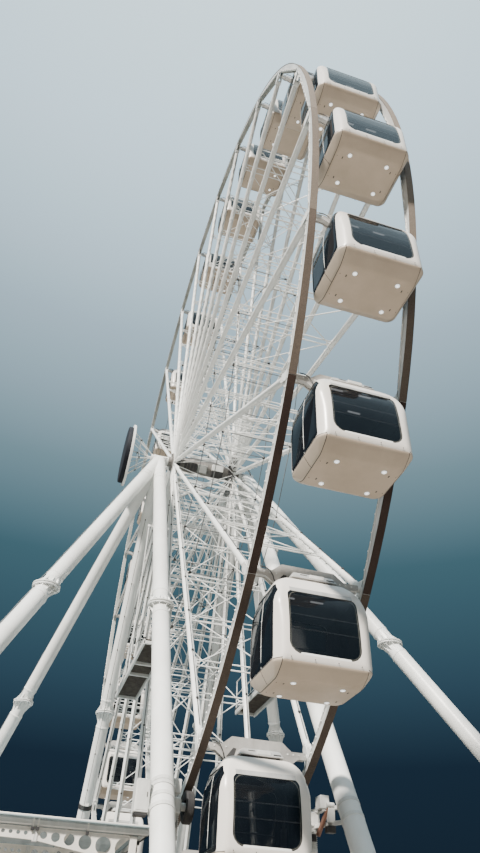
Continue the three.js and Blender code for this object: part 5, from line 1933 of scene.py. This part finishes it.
def canopy_web():
    web = Form()
    line = [(x, WEB_TOP - beam_depth(x)) for x in (CANOPY_X[0], SPLICE_X, WEB_END)]
    outline = [(CANOPY_X[0], WEB_TOP - 0.005)] + line + [(WEB_END, WEB_TOP - 0.005)]
    plate(web, [(x, 0, z) for x, z in outline], (0, -WEB_HALF, 0), (0, WEB_HALF, 0))
    holes = Form()
    x = LAST_HOLE
    while x > CANOPY_X[0] + 0.15:
        radius = hole_radius(x)
        if abs(x - SPLICE_X) > radius + HOLE_GAP:
            turned(holes, (x, -0.1, WEB_TOP - beam_depth(x) / 2), (0, 1, 0),
                   [(radius, 0), (radius, 0.2)], 36)
        x -= radius * HOLE_SPACING + HOLE_GAP
    made = combined(web.mesh("web"), holes.mesh("holes"), "DIFFERENCE")
    tidy(made)
    return made


def canopy_dressing(form, y):
    x0, x1 = CANOPY_X
    block(form, (x0, y - LIP_HALF_Y, WEB_TOP - 0.014), (WEB_END, y + LIP_HALF_Y, WEB_TOP), 0.003)
    block(form, (WEB_END - 0.002, y - 0.055, WEB_TOP - beam_depth(WEB_END)),
          (x1 - 0.01, y + 0.055, WEB_TOP), 0.012)
    foot = WEB_TOP - SPLICE_DEPTH
    block(form, (SPLICE_X - 0.055, y - WEB_HALF - 0.014, foot - 0.03),
          (SPLICE_X + 0.055, y + WEB_HALF + 0.014, WEB_TOP - 0.02), 0.004, finish=3)
    for shift in (-0.03, 0.03):
        block(form, (SPLICE_X + shift - 0.008, y - WEB_HALF - 0.022, foot - 0.02),
              (SPLICE_X + shift + 0.008, y + WEB_HALF + 0.022, WEB_TOP - 0.10), 0.003)
    post_x = x1 - 0.5
    base = DECK_TOP + 0.001 if abs(y) < DECK_HALF_Y else 0
    high = WEB_TOP - beam_depth(post_x) - 0.001
    block(form, (post_x - 0.09, y - 0.09, base), (post_x + 0.09, y + 0.09, high), 0.012, finish=1)
    block(form, (post_x - POST_HALF, y - POST_HALF, base),
          (post_x + POST_HALF, y + POST_HALF, base + 0.02), 0.003, finish=1)
    block(form, (post_x - POST_HALF, y - 0.057, high - 0.02),
          (post_x + POST_HALF, y + 0.057, high + 0.03), 0.003, finish=1)


web_mesh = canopy_web()
form = Form()
outer_beam = CANOPY_HALF_Y - 0.1
for k in range(BEAM_COUNT):
    y = -outer_beam + 2 * outer_beam * k / (BEAM_COUNT - 1)
    canopy_dressing(form, y)
    make_piece(f"canopy_web_{k + 1}", moved(web_mesh, (0, y, 0)), [CANOPY_WHITE], "tower",
               quiet=True)
purlin_top = CANOPY_TOP - SHEET - 0.001
for x in PURLINS:
    block(form, (x - 0.04, -outer_beam, WEB_TOP - 0.002), (x + 0.04, outer_beam, purlin_top), 0.008)
make_piece("canopy_beams", form, [CANOPY_WHITE, POST_BROWN, BLACK, GIRDER_WHITE], "tower",
           ["canopy_frame"])
print("one web with holes has", triangles(web_mesh), "triangles")

# %% [markdown]
# The roof sheet lets light through. It has ribs along its fall, an edge tube and a thick rounded border on
# all sides, straps that hold it down in black clamps, and small lamps in black boxes under its edge.

# %% Roof sheet, edge and lamps
STRAPS = [-8.3, -6.6, -4.94, -4.83, -3.72]
STRAP_HALF = 0.018
STRAP_CLAMP_HALF = 0.034
EDGE_TUBE_RADIUS = 0.026
BORDER_EDGE = 0.035
RIB_PITCH = 0.19
EDGE_LAMPS = 9
EDGE_LAMP_PITCH = 2.05
roof_low, roof_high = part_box("canopy_roof")
form = Form()
block(form, roof_low, (roof_high.x, roof_high.y, roof_low.z + 0.022), 0.004)
count = int((roof_high.y - roof_low.y - 0.1) / RIB_PITCH)
for i in range(count + 1):
    y = roof_low.y + 0.05 + i * RIB_PITCH
    bar(form, (roof_low.x + 0.01, y, roof_low.z + 0.035), (roof_high.x - 0.01, y, roof_low.z + 0.035),
        0.05, 0.034, 0.012, hint=Vector((0, 1, 0)))
make_piece("canopy_sheet", form, [ROOF_SHEET], "tower", ["canopy_roof"])

form = Form()
edge_z = roof_low.z + 0.028
for x in (roof_low.x + 0.028, roof_high.x - 0.028):
    rod(form, (x, roof_low.y + 0.01, edge_z), (x, roof_high.y - 0.01, edge_z), EDGE_TUBE_RADIUS, 12)
for y in (roof_low.y + 0.028, roof_high.y - 0.028):
    rod(form, (roof_low.x + 0.01, y, edge_z), (roof_high.x - 0.01, y, edge_z), EDGE_TUBE_RADIUS, 12)
border_z = (WEB_TOP + 0.012, roof_low.z + 0.004)
for end in (-1, 1):
    side_block(form, end, (roof_low.x, CANOPY_HALF_Y - 0.10, border_z[0]),
               (roof_high.x, CANOPY_HALF_Y, border_z[1]), BORDER_EDGE, 1)
    for x in STRAPS:
        side_block(form, end, (x - STRAP_HALF, CANOPY_HALF_Y - 0.004, WEB_TOP - 0.02),
                   (x + STRAP_HALF, CANOPY_HALF_Y + 0.006, CANOPY_TOP + 0.004), 0.003)
        side_block(form, end, (x - STRAP_HALF, CANOPY_HALF_Y - 0.45, CANOPY_TOP - 0.002),
                   (x + STRAP_HALF, CANOPY_HALF_Y + 0.006, CANOPY_TOP + 0.006), 0.003)
        side_block(form, end, (x - STRAP_CLAMP_HALF, CANOPY_HALF_Y - 0.06, WEB_TOP - 0.075),
                   (x + STRAP_CLAMP_HALF, CANOPY_HALF_Y + 0.008, WEB_TOP + 0.003), 0.006, 2)
for x in (roof_low.x, roof_high.x - 0.10):
    block(form, (x, -CANOPY_HALF_Y + 0.05, border_z[0]),
          (x + 0.10, CANOPY_HALF_Y - 0.05, border_z[1]), BORDER_EDGE, finish=1)
make_piece("canopy_edge", form, [CANOPY_WHITE, GIRDER_WHITE, BLACK], "tower")
form = Form()
for i in range(EDGE_LAMPS):
    y = -CANOPY_HALF_Y + 0.8 + i * EDGE_LAMP_PITCH
    for x in (roof_low.x + 0.09, roof_high.x - 0.12):
        block(form, (x - 0.045, y - 0.06, WEB_TOP - 0.075), (x + 0.045, y + 0.06, WEB_TOP + 0.013), 0.012)
        block(form, (x - 0.035, y - 0.05, WEB_TOP - 0.082), (x + 0.035, y + 0.05, WEB_TOP - 0.073), 0.003,
              finish=1)
make_piece("canopy_lamps", form, [BLACK, BULB], "tower")

# %% [markdown]
# ## Light and floor
#
# The sky is deep blue-green low down and pale high up. One hard, warm sun stands high on the left in front,
# so that every tube has a bright and a shaded side. The floor throws light back up, which keeps the
# undersides of the cabins readable.

# %% Floor, sky and sun
FLOOR_HALF = 90
SKY_LEVELS = [(0.0, (0.009, 0.018, 0.030)), (0.23, (0.012, 0.027, 0.048)), (0.32, (0.030, 0.070, 0.105)),
              (0.47, (0.06, 0.14, 0.18)), (0.58, (0.19, 0.31, 0.37)), (0.73, (0.47, 0.65, 0.77)),
              (0.88, (0.92, 1.22, 1.40)), (1.0, (1.30, 1.62, 1.75))]
SKY_STRENGTH = 1.0
SUN_STRENGTH = 11.0
SUN_SOFTNESS = 5
SUN_COLOUR = (1.0, 0.93, 0.84)
SUN_FROM = Vector((-0.55, -0.62, 0.72))
floor_mesh = bpy.data.meshes.new("floor")
floor_mesh.from_pydata([(-FLOOR_HALF, -FLOOR_HALF, 0), (FLOOR_HALF, -FLOOR_HALF, 0),
                        (FLOOR_HALF, FLOOR_HALF, 0), (-FLOOR_HALF, FLOOR_HALF, 0)], [], [(0, 1, 2, 3)])
floor = bpy.data.objects.new("floor", floor_mesh)
scene.collection.objects.link(floor)
FLOOR_PALE = painted("floor_pale", (0.29, 0.272, 0.247), (0.25, 0.234, 0.21), (0.8, 0.95), 0.2, bump=0.02)
floor_mesh.materials.append(FLOOR_PALE)

world = bpy.data.worlds.new("sky")
scene.world = world
world.use_nodes = True
sky = world.node_tree
background = sky.nodes["Background"]
background.inputs["Strength"].default_value = SKY_STRENGTH
way = add_node(sky, "ShaderNodeTexCoord")
height = add_node(sky, "ShaderNodeSeparateXYZ")
levels = add_node(sky, "ShaderNodeValToRGB")
sky.links.new(way.outputs["Generated"], height.inputs["Vector"])
sky.links.new(height.outputs["Z"], levels.inputs["Fac"])
sky.links.new(levels.outputs["Color"], background.inputs["Color"])
ramp = levels.color_ramp
while len(ramp.elements) < len(SKY_LEVELS):
    ramp.elements.new(0.5)
for element, (position, colour) in zip(ramp.elements, SKY_LEVELS):
    element.position = position
    element.color = (*colour, 1)

sun_data = bpy.data.lights.new("sun", "SUN")
sun_data.energy = SUN_STRENGTH
sun_data.color = SUN_COLOUR
sun_data.angle = math.radians(SUN_SOFTNESS)
sun = bpy.data.objects.new("sun", sun_data)
sun.rotation_euler = SUN_FROM.to_track_quat("Z", "Y").to_euler()
scene.collection.objects.link(sun)
print("floor, sky and sun ready;", triangle_total, "triangles in all pieces")
